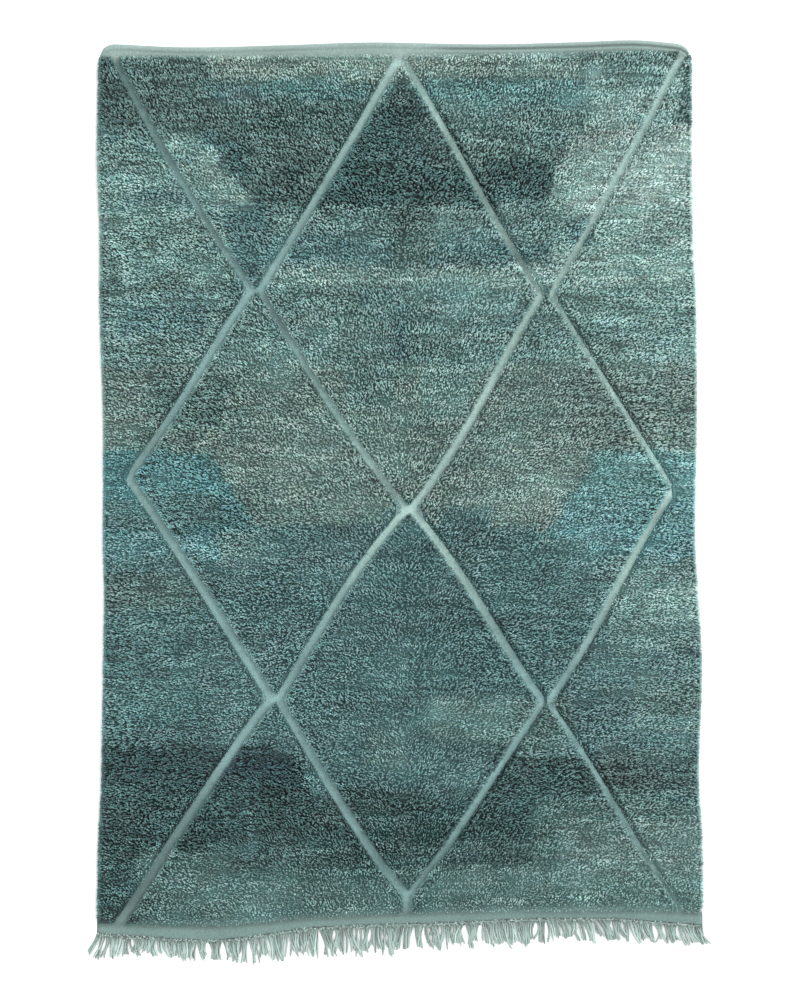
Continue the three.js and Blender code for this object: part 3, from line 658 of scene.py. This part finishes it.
# the closed bed of knots under a field's tufts: rows and columns between its sides, as a top and a
# bottom that meet round the edge
def bedOf(field):
    routes = fields[field]
    fine = np.arange(pileEnds["foot"], pileEnds["head"] + 1e-6, 0.002)
    wide = fieldSide(routes[1], "right", fine) - fieldSide(routes[0], "left", fine)
    fine = fine[wide > 0.008]
    rowCount = int((fine[-1] - fine[0]) / 0.05) + 2
    columnCount = int(wide.max() / 0.06) + 3
    y = np.linspace(fine[0], fine[-1], rowCount)
    beyond = [reach if route == "edge" else -0.001 for route, reach in zip(routes, pile["bedBeyond"])]
    left = fieldSide(routes[0], "left", y) - beyond[0]
    right = fieldSide(routes[1], "right", y) + beyond[1]
    share = np.linspace(0, 1, columnCount)
    gridX = left[:, None] + (right - left)[:, None] * share
    gridY = followEnds(gridX, np.repeat(y[:, None], columnCount, axis=1))
    raised = np.ones((rowCount, columnCount))
    raised[[0, -1]] = raised[:, [0, -1]] = 0
    low = pile["knotDepth"] + 0.0006
    topZ = low + raised * (pile["bedTop"] - low + 0.0012 * softNoise(gridX, gridY, 0.05, 0.05, 49))
    top = np.stack([gridX, gridY, topZ], axis=2).reshape(-1, 3)
    bottomZ = np.full_like(gridX, pile["knotDepth"] - 0.0003)
    bottom = np.stack([gridX, gridY, bottomZ], axis=2).reshape(-1, 3)
    points = np.concatenate([top, bottom])
    faces = closedSlabFaces(rowCount, columnCount)
    uv = np.stack(np.meshgrid(share, np.linspace(0, 1, rowCount)), axis=2).reshape(-1, 2)
    uv = np.concatenate([uv * (0.49, 1), uv * (0.49, 1) + (0.51, 0)]) * (1, bedShare * 0.9)
    return points, faces, uv


# four-cornered faces of a top grid, a bottom grid with the same rows and columns, and the wall between
def closedSlabFaces(rowCount, columnCount):
    below = rowCount * columnCount
    number = np.arange(below).reshape(rowCount, columnCount)
    a, b, c, d = number[:-1, :-1], number[:-1, 1:], number[1:, 1:], number[1:, :-1]
    top = np.stack([a, b, c, d], axis=2).reshape(-1, 4)
    bottom = top[:, ::-1] + below
    around = np.concatenate([number[0], number[1:, -1], number[-1, -2::-1], number[-2:0:-1, 0]])
    ahead = np.roll(around, -1)
    wall = np.stack([around + below, ahead + below, ahead, around], axis=1)
    return np.concatenate([top, bottom, wall])


# the tufts' cells in the bake map, in rows from the foot of the field to its head
def cellUv(points):
    count = len(points)
    side = math.ceil(math.sqrt(count))
    rowOrder = np.argsort(points[:, 0, 1], kind="stable")
    place = np.empty(count, int)
    for start in range(0, count, side):
        row = rowOrder[start:start + side]
        place[row[np.argsort(points[row, 0, 0])]] = start + np.arange(len(row))
    cell = np.stack([place % side, place // side], axis=1) / side
    size = np.array([1, 1 - bedShare]) / side
    corner = cell * (1, 1 - bedShare) + (0, bedShare)
    return corner[:, None, :] + (0.06 + 0.88 * tuftUv)[None] * size


def pileMaterial():
    material, tree, shader = materialNodes("pileWool", 0.92, 0.25)
    objectPlace = objectPlaceOf(tree)
    dye = attributeNode(tree, "dye", "Color")
    shade = attributeNode(tree, "yarnShade", "Fac")
    along = attributeNode(tree, "alongTuft", "Fac")
    deep = attributeNode(tree, "deepPaintedShade", "Color")
    # from the root toward the shoulder each tuft turns from the painted deep shade to its dye
    blend = tree.nodes.new("ShaderNodeMix")
    blend.data_type = "VECTOR"
    tree.links.new(rangeNode(tree, along, 0.10, 0.78, kind="SMOOTHSTEP"), blend.inputs["Factor"])
    tree.links.new(deep, blend.inputs[4])
    tree.links.new(dye, blend.inputs[5])
    coloured = scaledNode(tree, blend.outputs[1], shade)
    mottled = groupNode(tree, woolMottle, Color=coloured, Vector=objectPlace, Scale=300.0, Strength=0.5)
    tree.links.new(mottled, shader.inputs["Base Color"])
    bumpInto(tree, shader, groupNode(tree, woolFibre, Vector=objectPlace, Scale=900.0), 0.5, 0.0008)
    return material


# how light each tuft is. Dark wool shows the single yarns, by (0.24 / green)^0.7, and pale wool its
# patches. Painted shade darkens the left edge, which rolls away from the light, and painted light
# lightens the right edge, which rolls toward it.
def shadeOf(x, y, tuftDye, rng):
    crisp = np.clip((0.24 / tuftDye[:, 1]) ** 0.7, 0.42, 1.6)
    patches = softNoise(x, y, 0.030, 0.012, 52) + 0.8 * softNoise(x, y, 0.075, 0.02, 53)
    # the clumps' share of the patches is painted light: the higher clumps are made lighter
    patches = patches + 0.9 * clumpAt(x, y) + 0.9 * softNoise(x, y, 0.048, 0.008, 56)
    uneven = pileShade["yarns"] * crisp * rng.normal(size=len(x))
    uneven = uneven + follow(pileReach, "y", y, "patch") * patches
    atLeft = 1 - ramp(x - follow(rugEdges, "y", y, "left"), 0.006, 0.033)
    atRight = 1 - ramp(follow(rugEdges, "y", y, "right") - x, 0.008, 0.024)
    atFoot = 1 - ramp(y - pileEnds["foot"], 0.005, 0.03)
    # painted shade in the partings' cracks and along the left edge, painted light along the right edge and
    # the foot
    shade = np.exp(uneven - 0.04) * (1 - pileShade["parting"] * partingAt(x, y))
    shade = shade * (1 - pileShade["leftEdgePaintedShade"] * atLeft) * (1 + pileShade["rightEdgePaintedLight"] * atRight)
    shade = shade * (1 + pileShade["foot"] * atFoot)
    return np.clip(shade, pileShade["least"], pileShade["most"] + pileShade["mostWhenDark"] * crisp)


def buildPile():
    material = pileMaterial()
    allX, allY = knotPlaces()
    pieces, total = [], 0
    for number, field in enumerate(fields):
        rng = np.random.default_rng(60 + number)
        within = sidesOf(field, allX, allY)[0].min(axis=0) > 0.0015
        x, y = allX[within], allY[within]
        points = tuftsOf(field, x, y, rng)
        count = len(points)
        bedPoints, bedFaces, bedUv = bedOf(field)
        faces = (tuftFaces[None] + 5 * np.arange(count)[:, None, None]).reshape(-1, 3)
        allPoints = np.concatenate([points.reshape(-1, 3), bedPoints])
        mesh = meshFrom(field, allPoints, [faces, bedFaces + 5 * count])
        tuftDye = dyeAt(x, y) * (1 + 0.04 * rng.normal(size=(count, 3)))
        yarnShade = shadeOf(x, y, tuftDye, rng)
        # the lighter yarns are mixed toward grey: a painted sheen on the bright strands
        sheenGrey = np.clip(0.45 * (yarnShade - 1), -0.15, 0.24)[:, None]
        tuftDye = mix(tuftDye, tuftDye.mean(axis=1, keepdims=True), sheenGrey)
        pointDye = np.concatenate([np.repeat(tuftDye, 5, axis=0), dyeAt(*bedPoints[:, :2].T)])
        addColours(mesh, "dye", pointDye)
        # painted shade deep in the pile, where the light has met the wool again and again: tint * dye *
        # (1.75 green - 0.21)
        often = np.clip(1.75 * pointDye[:, 1:2] - 0.21, 0.10, 0.76)
        addColours(mesh, "deepPaintedShade", pileShade["deepShadeTint"] * often * pointDye)
        addValues(mesh, "yarnShade", np.concatenate([np.repeat(yarnShade, 5), np.ones(len(bedPoints))]))
        # the bed's alongTuft is 0, so the bed takes the painted deep shade all over
        stations = np.repeat([0, pile["shoulder"], 1], [1, 3, 1])
        addValues(mesh, "alongTuft", np.concatenate([np.tile(stations, count), np.zeros(len(bedPoints))]))
        addUv(mesh, np.concatenate([cellUv(points).reshape(-1, 2), bedUv[bedFaces.ravel()]]))
        pieces.append(addPiece(field, mesh, material, "rug_body"))
        triangles = 6 * count + 2 * len(bedFaces)
        total += triangles
        print(field, count, "tufts", triangles, "triangles")
    print("pile built,", total, "triangles")
    return pieces


# Ground weave

weave = {
    "thick": 0.004, "columns": 64, "bodyRows": 96, "headRows": 28, "footRows": 12,
    "head": 1.511, "foot": -1.41,   # the first and last row before they are bent to the ends
    "tuckedIn": 0.008, "fade": 0.05, "cornerWide": 0.052, "cornerDeep": 0.047,
    "hemWide": 0.018, "hemHeight": 0.0085, "hemInset": 0.001, "edgeRound": 0.004,
    "seamInset": 0.026, "seamWide": 0.012, "seamHeight": 0.0035,
    "albedo": 0.99, "bandAlbedo": 0.79,
}
weaveColours = {
    "lineLeft": (142, 178, 176), "lineRight": (151, 178, 172),
    "head": (148, 170, 164), "foot": (116, 141, 136),
}
lineSpread = 0.045   # how far a line's paleness, its own tone and painted light, carries into the weave beside it


# the paleness of the weave at points, as tone and painted light: each line's own, by weights exp(-(distance
# / spread)^2)
def palenessAt(x, y):
    weights, total = np.full(len(x), 1e-9), np.full(len(x), 0.8e-9)
    for (fromName, toName), line in lines.items():
        high, low = crossings[fromName][1], crossings[toName][1]
        nearY = np.clip(y, low, high)
        along = (high - nearY) / (high - low)
        distance = np.hypot(x - lineAt(fromName, toName, nearY)[0], y - nearY)
        weight = np.exp(-(distance / lineSpread) ** 2)
        weights += weight
        total += weight * mix(*line["pale"], np.clip(2 * along - 0.5, -0.2, 1.2))
    return total / weights


# a side of the weave: tucked in under the pile, and out at the rug's edge in the end bands
def weaveSide(y, side):
    inward = 1 if side == "left" else -1
    pastFoot = ramp(y, pileEnds["foot"], pileEnds["foot"] + weave["fade"])
    shortOfHead = ramp(-y, -pileEnds["head"], weave["fade"] - pileEnds["head"])
    return follow(rugEdges, "y", y, side) + inward * weave["tuckedIn"] * pastFoot * shortOfHead


# the weave as a grid of rows and columns: rows run straight in the body, and bend near an end so that
# the last one lies on the edge of the hem, with quarter-ellipse corners, or on the edge of the foot band
def weaveGrid():
    head, foot = weave["head"], weave["foot"]
    rows = np.concatenate([
        np.linspace(foot, pileEnds["foot"] + 0.02, weave["footRows"], endpoint=False),
        np.linspace(pileEnds["foot"] + 0.02, 1.43, weave["bodyRows"], endpoint=False),
        np.linspace(1.43, head, weave["headRows"]),
    ])
    left, right = weaveSide(rows, "left"), weaveSide(rows, "right")
    share = np.linspace(0, 1, weave["columns"])
    share = mix(share, 0.5 - 0.5 * np.cos(math.pi * share), 0.5)   # columns closer together at the sides
    x = left[:, None] + (right - left)[:, None] * share
    y = np.repeat(rows[:, None], weave["columns"], axis=1)
    fromSide = np.minimum(x - left[:, None], right[:, None] - x)
    corner = np.clip(1 - fromSide / weave["cornerWide"], 0, 1)
    headEdge = follow(headEnd, "x", x, "edge") - weave["cornerDeep"] * (1 - np.sqrt(1 - corner ** 2))
    footEdge = follow(footEnd, "x", x, "edge")
    nearHead, nearFoot = ramp(rows, 1.15, head)[:, None], ramp(-rows, 1.1, -foot)[:, None]
    y = y + nearHead * (headEdge - head) + nearFoot * (footEdge - foot)
    return x, y, headEdge - y, y - footEdge, fromSide


# the hem: a half-round roll along the head, and a low fold under it, both fuller on the right
def hemRelief(x, fromHead, lumpy):
    fuller = ramp(x, 0.06, 0.20)
    across = np.clip((fromHead - weave["hemInset"]) / weave["hemWide"], 0, 1)
    rounded = np.sqrt(np.clip(1 - (2 * across - 1) ** 2, 0, 1))
    roll = weave["hemHeight"] * lumpy * rounded * mix(0.6, 1, fuller)
    across = np.clip((fromHead - weave["seamInset"]) / weave["seamWide"], -1, 1)
    fold = weave["seamHeight"] * np.cos(across * math.pi / 2) ** 2 * lumpy * mix(0.1, 1, fuller)
    return roll, fold


# the colour of the weave: bluer lines at the left and the foot, greyer ones at the right, a band at each
# end, a painted shadow where the pile ends, and painted shade in the crease under the roll where the hem
# is folded down harder
def weaveDye(x, y, fromHead):
    towardRight = ramp(x, -0.5, 0.1) * ramp(y, -0.7, -0.1)
    line = mix(linear(weaveColours["lineLeft"]), linear(weaveColours["lineRight"]), towardRight[:, None])
    colour = line * palenessAt(x, y)[:, None] * weave["albedo"]
    for end, share in (("head", ramp(y, 1.44, 1.47)), ("foot", ramp(-y, 1.34, 1.37))):
        colour = mix(colour, linear(weaveColours[end]) * weave["bandAlbedo"], share[:, None])
    colour *= (1 + 0.08 * softNoise(x, y, 0.16, 0.05, 74))[:, None]
    # painted shadow of the pile's edge on the foot band
    fromPile = follow(footEnd, "x", x, "pile") - y
    colour *= mix(1, 0.72, (ramp(fromPile, -0.02, 0) * (1 - ramp(fromPile, 0.004, 0.020))))[:, None]
    # painted shade in the crease under the hem roll
    creaseShade = np.exp(-((fromHead - 0.0165) / 0.004) ** 2) * ramp(x, 0.06, 0.20)
    return colour * (1 - 0.42 * creaseShade)[:, None]


def buildWeave():
    x, y, fromHead, fromFoot, fromSide = weaveGrid()
    rowCount, columnCount = x.shape
    uneven = 0.0004 * softNoise(x, y, 0.07, 0.05, 71)
    lumpy = 1 + 0.16 * softNoise(x, y, 0.045, 0.5, 72) + 0.10 * softNoise(x, y, 0.016, 0.01, 73)
    roll, fold = hemRelief(x, fromHead, lumpy)
    topZ = weave["thick"] + uneven + roll + fold
    nearest = np.minimum(np.minimum(fromSide, fromHead), fromFoot)
    topZ = topZ * mix(0.35, 1, np.sqrt(np.clip(nearest / weave["edgeRound"], 0, 1)))
    top = np.stack([x, y, topZ], axis=2).reshape(-1, 3)
    bottom = np.stack([x, y, np.zeros_like(x)], axis=2).reshape(-1, 3)
    faces = closedSlabFaces(rowCount, columnCount)
    mesh = meshFrom("groundWeave", np.concatenate([top, bottom]), [faces])
    addColours(mesh, "dye", np.tile(weaveDye(x.ravel(), y.ravel(), fromHead.ravel()), (2, 1)))
    u = np.tile(np.linspace(0, 1, columnCount), rowCount)
    v = np.repeat(np.linspace(0, 1, rowCount), columnCount)
    uv = np.concatenate([np.stack([u * 0.495, v], axis=1), np.stack([1 - u * 0.495, v], axis=1)])
    addUv(mesh, uv[faces.ravel()])
    print("ground weave built,", 2 * len(faces), "triangles")
    return addPiece("groundWeave", mesh, weaveMaterial(), "rug_body")


# a plain weave as a height: warp ribs and weft ribs that rise in turn
def weaveGroup():
    inputs = [("Vector", "Vector"), ("Warp", "Float"), ("Weft", "Float")]
    group, inside, out = newGroup("plainWeave", inputs, [("Height", "Float")])
    parts = group.nodes.new("ShaderNodeSeparateXYZ")
    group.links.new(inside.outputs["Vector"], parts.inputs[0])
    warp = mathNode(group, "SINE", mathNode(group, "MULTIPLY", parts.outputs["X"], inside.outputs["Warp"]))
    weft = mathNode(group, "SINE", mathNode(group, "MULTIPLY", parts.outputs["Y"], inside.outputs["Weft"]))
    crossed = mathNode(group, "MULTIPLY", warp, weft)
    ribs = mathNode(group, "MULTIPLY_ADD", warp, 0.18, 0.5)
    group.links.new(mathNode(group, "MULTIPLY_ADD", crossed, 0.25, ribs), out.inputs["Height"])
    return group


def weaveMaterial():
    material, tree, shader = materialNodes("weaveWool", 0.95, 0.2)
    objectPlace = objectPlaceOf(tree)
    woven = groupNode(tree, weaveGroup(), Vector=objectPlace, Warp=1400.0, Weft=1900.0)
    fibre = groupNode(tree, woolFibre, Vector=objectPlace, Scale=420.0)
    dye = attributeNode(tree, "dye", "Color")
    mottled = groupNode(tree, woolMottle, Color=dye, Vector=objectPlace, Scale=170.0, Strength=0.8)
    # the weave's hollows are painted darker and its ribs lighter: painted shade
    shaded = scaledNode(tree, mottled, mathNode(tree, "MULTIPLY_ADD", woven, 0.30, 0.85))
    tree.links.new(shaded, shader.inputs["Base Color"])
    bumpInto(tree, shader, mathNode(tree, "MULTIPLY_ADD", fibre, 1.4, woven), 0.6, 0.0012)
    return material


# Fringe

fringe = {
    "locks": 120, "strandsPerLock": 4, "rootDepth": 0.003, "gap": 0.0003, "gather": 0.0075,
    "lockGather": 0.56, "sway": 0.0072, "uneven": 0.26, "thick": 0.0064, "stations": 8, "corners": 5,
}
# How the fringe lies: its lean, as sideways run for each unit of length, and its length.
fringeLie = {
    "x": [-1.0, -0.89, -0.62, -0.5, -0.33, -0.09, 0.16, 0.4, 0.62, 0.86, 1.004],
    "lean": [-0.56, -0.14, 0.05, 0.02, 0.16, 0.02, 0.02, 0.1, 0.28, 0.42, 0.38],
    "length": [0.066, 0.054, 0.057, 0.07, 0.077, 0.082, 0.074, 0.07, 0.06, 0.059, 0.058],
}
twine = {"height": 0.0038, "ply": 0.0019, "twist": 0.014, "step": 0.0028, "wander": 0.0032}
# small hitches of yarn round the roots of the locks
hitches = {
    "count": 900, "long": 0.0068, "thick": 0.0046, "beyond": 0.0028, "spread": 0.0060,
    "height": 0.0054, "heightSpread": 0.0014, "droop": 0.0016, "stations": 4,
}
fringeColour = (146, 167, 161)


# closed tubes of equal count: a ring of points round each station of each path, and a point at each end
def tubesAlong(paths, radii, corners):
    count, stations = paths.shape[:2]
    along = np.gradient(paths, axis=1)
    along /= np.linalg.norm(along, axis=2, keepdims=True)
    across = np.cross(along, (0.0, 0.0, 1.0))
    across /= np.linalg.norm(across, axis=2, keepdims=True)
    upward = np.cross(along, across)
    turn = np.arange(corners) * 2 * math.pi / corners
    ring = across[:, :, None] * np.cos(turn)[:, None] + upward[:, :, None] * np.sin(turn)[:, None]
    rings = paths[:, :, None] + ring * radii[:, :, None, None]
    points = np.concatenate(
        [paths[:, :1] - along[:, :1] * radii[:, :1, None] * 0.5, rings.reshape(count, -1, 3),
         paths[:, -1:] + along[:, -1:] * radii[:, -1:, None]], axis=1
    )
    k = np.arange(corners)
    ahead = (k + 1) % corners
    start = 1 + corners * np.arange(stations - 1)[:, None]
    sides = np.stack([start + k, start + ahead, start + corners + ahead, start + corners + k], axis=2)
    last = 1 + corners * (stations - 1)
    ends = np.concatenate([
        np.stack([np.zeros_like(k), 1 + ahead, 1 + k], axis=1),
        np.stack([last + k, last + ahead, np.full_like(k, last + corners)], axis=1),
    ])
    perTube = points.shape[1]
    shift = perTube * np.arange(count)[:, None, None]
    quads = (sides.reshape(-1, 4)[None] + shift).reshape(-1, 4)
    triangles = (ends[None] + shift).reshape(-1, 3)
    # from 0 under a tube to 1 on top of it
    upness = np.full((count, perTube), 0.8)
    upness[:, 1:-1] = 0.5 + 0.5 * ring[..., 2].reshape(count, -1)
    return points.reshape(-1, 3), triangles, quads, upness


# the warp ends: strands of a lock start side by side, draw together, lean, sway and settle on the floor
def strandPaths():
    rng = np.random.default_rng(81)
    left, right = rugEdges["left"][-1], rugEdges["right"][-1]
    count = fringe["locks"] * fringe["strandsPerLock"]
    pitch = (right - left) / fringe["locks"]
    lockNumber = np.repeat(np.arange(fringe["locks"]), fringe["strandsPerLock"])
    rootX = left + pitch * (np.arange(count) + 0.5) / fringe["strandsPerLock"]
    rootX = rootX + 0.0008 * rng.uniform(-1, 1, count)
    lockX = left + pitch * (lockNumber + 0.5)
    lockChance = rng.uniform(-1, 1, (3, fringe["locks"]))[:, lockNumber]
    length = follow(fringeLie, "x", rootX, "length")
    length = length * (1 + fringe["uneven"] * (0.8 * lockChance[0] + 0.40 * rng.uniform(-1, 1, count)))
    lean = follow(fringeLie, "x", rootX, "lean") + 0.24 * lockChance[1] + 0.11 * rng.normal(size=count)
    sway = fringe["sway"] * (lockChance[2] + 0.4 * rng.normal(size=count))
    rootY = follow(footEnd, "x", rootX, "edge") - fringe["gap"] - fringe["rootDepth"]
    t = np.linspace(0, 1, fringe["stations"])[None]
    inLock = (lockX - rootX)[:, None] * fringe["lockGather"] * np.sin(math.pi * np.minimum(t * 1.3, 1) / 2)
    # locks crowd together in some places and leave slits in others, and a strand strays now and then
    crowd = softNoise(lockX, 0 * lockX, 0.045, 1, 85) + 0.5 * softNoise(lockX, 0 * lockX, 0.020, 1, 86)
    stray = 0.007 * rng.normal(size=count) * (rng.uniform(size=count) < 0.25)
    inClump = (fringe["gather"] * crowd + stray)[:, None] * t ** 1.3
    x = rootX[:, None] + inLock + inClump + (lean * length)[:, None] * t
    x = x + sway[:, None] * np.sin(math.pi * t)
    y = rootY[:, None] - length[:, None] * t
    lying = fringe["thick"] * 0.56 + 0.0030 * rng.uniform(0, 1, count)
    z = mix(0.0036, lying[:, None], ramp(t, 0, 0.35))
    return np.stack([x, y, z], axis=2)


# the two plies of the twined cord wind round a line that wanders along the end of the weave
def cordPaths():
    left, right = rugEdges["left"][-1], rugEdges["right"][-1]
    x = np.linspace(left, right, int((right - left) / twine["step"]))
    middle = follow(footEnd, "x", x, "edge") - fringe["gap"] - twine["ply"] * 0.9
    away = softNoise(x, 0 * x, 0.05, 1, 83) + 0.5 * softNoise(x, 0 * x, 0.02, 1, 84)
    middle = middle - twine["wander"] * np.clip(away, 0, None)
    paths = []
    for ply in (0, math.pi):
        turn = 2 * math.pi * x / twine["twist"] + ply
        y = middle + twine["ply"] * 0.8 * np.cos(turn)
        paths.append(np.stack([x, y, twine["height"] + twine["ply"] * 0.55 * np.sin(turn)], axis=1))
    return np.array(paths)


# each hitch is a short straight path, turned any way round, that droops toward both ends
def hitchPaths():
    rng = np.random.default_rng(87)
    count = hitches["count"]
    x = rng.uniform(rugEdges["left"][-1] + 0.004, rugEdges["right"][-1] - 0.004, count)
    y = follow(footEnd, "x", x, "edge") - hitches["beyond"] + hitches["spread"] * rng.uniform(-1, 1, count)
    turn = rng.uniform(0, math.pi, count)[:, None]
    along = np.linspace(-1, 1, hitches["stations"])[None]
    out = hitches["long"] / 2 * along
    z = hitches["height"] + hitches["heightSpread"] * rng.uniform(0, 1, count)[:, None]
    z = z - hitches["droop"] * np.abs(along)
    return np.stack([x[:, None] + np.cos(turn) * out, y[:, None] + np.sin(turn) * out, z], axis=2)


def buildTubes(name, paths, radii, corners, shade):
    points, triangles, quads, upness = tubesAlong(paths, radii, corners)
    mesh = meshFrom(name, points, [triangles, quads])
    # the sides of a strand lie in the shade of the next one
    addValues(mesh, "yarnShade", (shade[:, None] * mix(0.42, 1.0, ramp(upness, 0.45, 0.95))).ravel())
    stations = np.concatenate([[0], np.repeat(np.linspace(0, 1, paths.shape[1]), corners), [1]])
    addValues(mesh, "alongTuft", np.tile(stations, len(paths)))
    print(name, len(triangles) + 2 * len(quads), "triangles")
    return addPiece(name, mesh, fringeMaterial(name), "fringe")


def fringeMaterial(name):
    material, tree, shader = materialNodes(name + "Wool", 0.88, 0.25)
    objectPlace = objectPlaceOf(tree)
    shade = attributeNode(tree, "yarnShade", "Fac")
    yarn = tree.nodes.new("ShaderNodeRGB")
    yarn.outputs[0].default_value = (*linear(fringeColour), 1)
    # the roots lie in each other's shade
    lit = rangeNode(tree, attributeNode(tree, "alongTuft", "Fac"), 0.0, 0.55, 0.60, 1.02)
    shaded = scaledNode(tree, yarn.outputs[0], mathNode(tree, "MULTIPLY", shade, lit))
    mottled = groupNode(tree, woolMottle, Color=shaded, Vector=objectPlace, Scale=140.0, Strength=0.4)
    tree.links.new(mottled, shader.inputs["Base Color"])
    bumpInto(tree, shader, groupNode(tree, woolFibre, Vector=objectPlace, Scale=1100.0), 0.5, 0.0006)
    return material


def buildFringe():
    rng = np.random.default_rng(82)
    paths = strandPaths()
    # thin at the root and blunt at the end
    taper = np.interp(np.linspace(0, 1, fringe["stations"]), [0, 0.25, 0.8, 1], [0.62, 0.95, 1.0, 0.72])
    radii = fringe["thick"] / 2 * rng.uniform(0.75, 1.15, (len(paths), 1)) * taper
    strandShade = np.clip(1 + 0.26 * rng.normal(size=len(paths)), 0.45, 1.5)
    strands = buildTubes("warpFringe", paths, radii, fringe["corners"], strandShade)
    cords = cordPaths()
    cordRadii, cordShade = np.full(cords.shape[:2], twine["ply"]), np.array([0.92, 0.80])
    cord = buildTubes("twinedCord", cords, cordRadii, fringe["corners"], cordShade)
    knots = hitchPaths()
    knotRadii = hitches["thick"] / 2 * rng.uniform(0.7, 1.2, (len(knots), 1)) * np.array([0.6, 1, 1, 0.6])
    # the hitches' tone varies at random, and the darkest stand in for the shaded gaps between them: painted
    # shade
    knotShade = np.clip(0.76 + 0.42 * rng.normal(size=len(knots)), 0.20, 1.35)
    return [strands, cord, buildTubes("rootHitches", knots, knotRadii, fringe["corners"], knotShade)]


# Stage, light and camera

studio = {
    "floor": (0.95, 0.96, 0.96), "floorHalf": 12.0, "world": 1.25,
    "sun": {"from": (1.0, 0.55, 1.15), "angle": 40, "strength": 2.0},
    "cameraHeight": 9.0, "pileTop": 0.02, "pixel": 0.0033,
    "pictureLength": 1000, "middlePixel": (400, 500), "originPixel": (399, 501),
}


# a soft sun from the right and a little from the head
def addSun():
    light = bpy.data.lights.new("sun", "SUN")
    light.energy, light.angle = studio["sun"]["strength"], math.radians(studio["sun"]["angle"])
    lamp = bpy.data.objects.new("sun", light)
    bpy.context.scene.collection.objects.link(lamp)
    x, y, z = studio["sun"]["from"]
    lamp.location = (3 * x, 3 * y, 3 * z)
    lamp.rotation_euler = (math.atan2(math.hypot(x, y), z), 0, math.atan2(x, -y))


def buildStudio():
    scene = bpy.context.scene
    half = studio["floorHalf"]
    corners = np.array([(-half, -half, 0), (half, -half, 0), (half, half, 0), (-half, half, 0)])
    floorMesh = meshFrom("floor", corners, [np.array([[0, 1, 2, 3]])])
    floor = bpy.data.objects.new("floor", floorMesh)
    scene.collection.objects.link(floor)
    paint = bpy.data.materials.new("floorPaint")
    paint.use_nodes = True
    shader = paint.node_tree.nodes["Principled BSDF"]
    shader.inputs["Base Color"].default_value = (*studio["floor"], 1)
    shader.inputs["Roughness"].default_value = 0.9
    shader.inputs["Specular IOR Level"].default_value = 0.0
    floorMesh.materials.append(paint)
    world = bpy.data.worlds.new("studio")
    world.use_nodes = True
    world.node_tree.nodes["Background"].inputs["Color"].default_value = (1, 1, 1, 1)
    world.node_tree.nodes["Background"].inputs["Strength"].default_value = studio["world"]
    scene.world = world
    addSun()
    scene.view_settings.view_transform = "Standard"
    print("floor, world and sun built")


# the camera looks straight down from high up, so that a pixel of the picture is 3.3 mm of the rug
def buildCamera():
    camera = bpy.data.cameras.new("camera")
    camera.sensor_fit = "AUTO"
    camera.sensor_width = 36
    frameLength = studio["pixel"] * studio["pictureLength"]
    camera.lens = camera.sensor_width * (studio["cameraHeight"] - studio["pileTop"]) / frameLength
    camera.clip_end = 100
    holder = bpy.data.objects.new("camera", camera)
    bpy.context.scene.collection.objects.link(holder)
    x = (studio["middlePixel"][0] - studio["originPixel"][0]) * studio["pixel"]
    y = (studio["originPixel"][1] - studio["middlePixel"][1]) * studio["pixel"]
    holder.location = (x, y, studio["cameraHeight"])
    bpy.context.scene.camera = holder
    print("camera set")


buildCamera()
buildStudio()
weavePiece = buildWeave()
pilePieces = buildPile()
fringePieces = buildFringe()
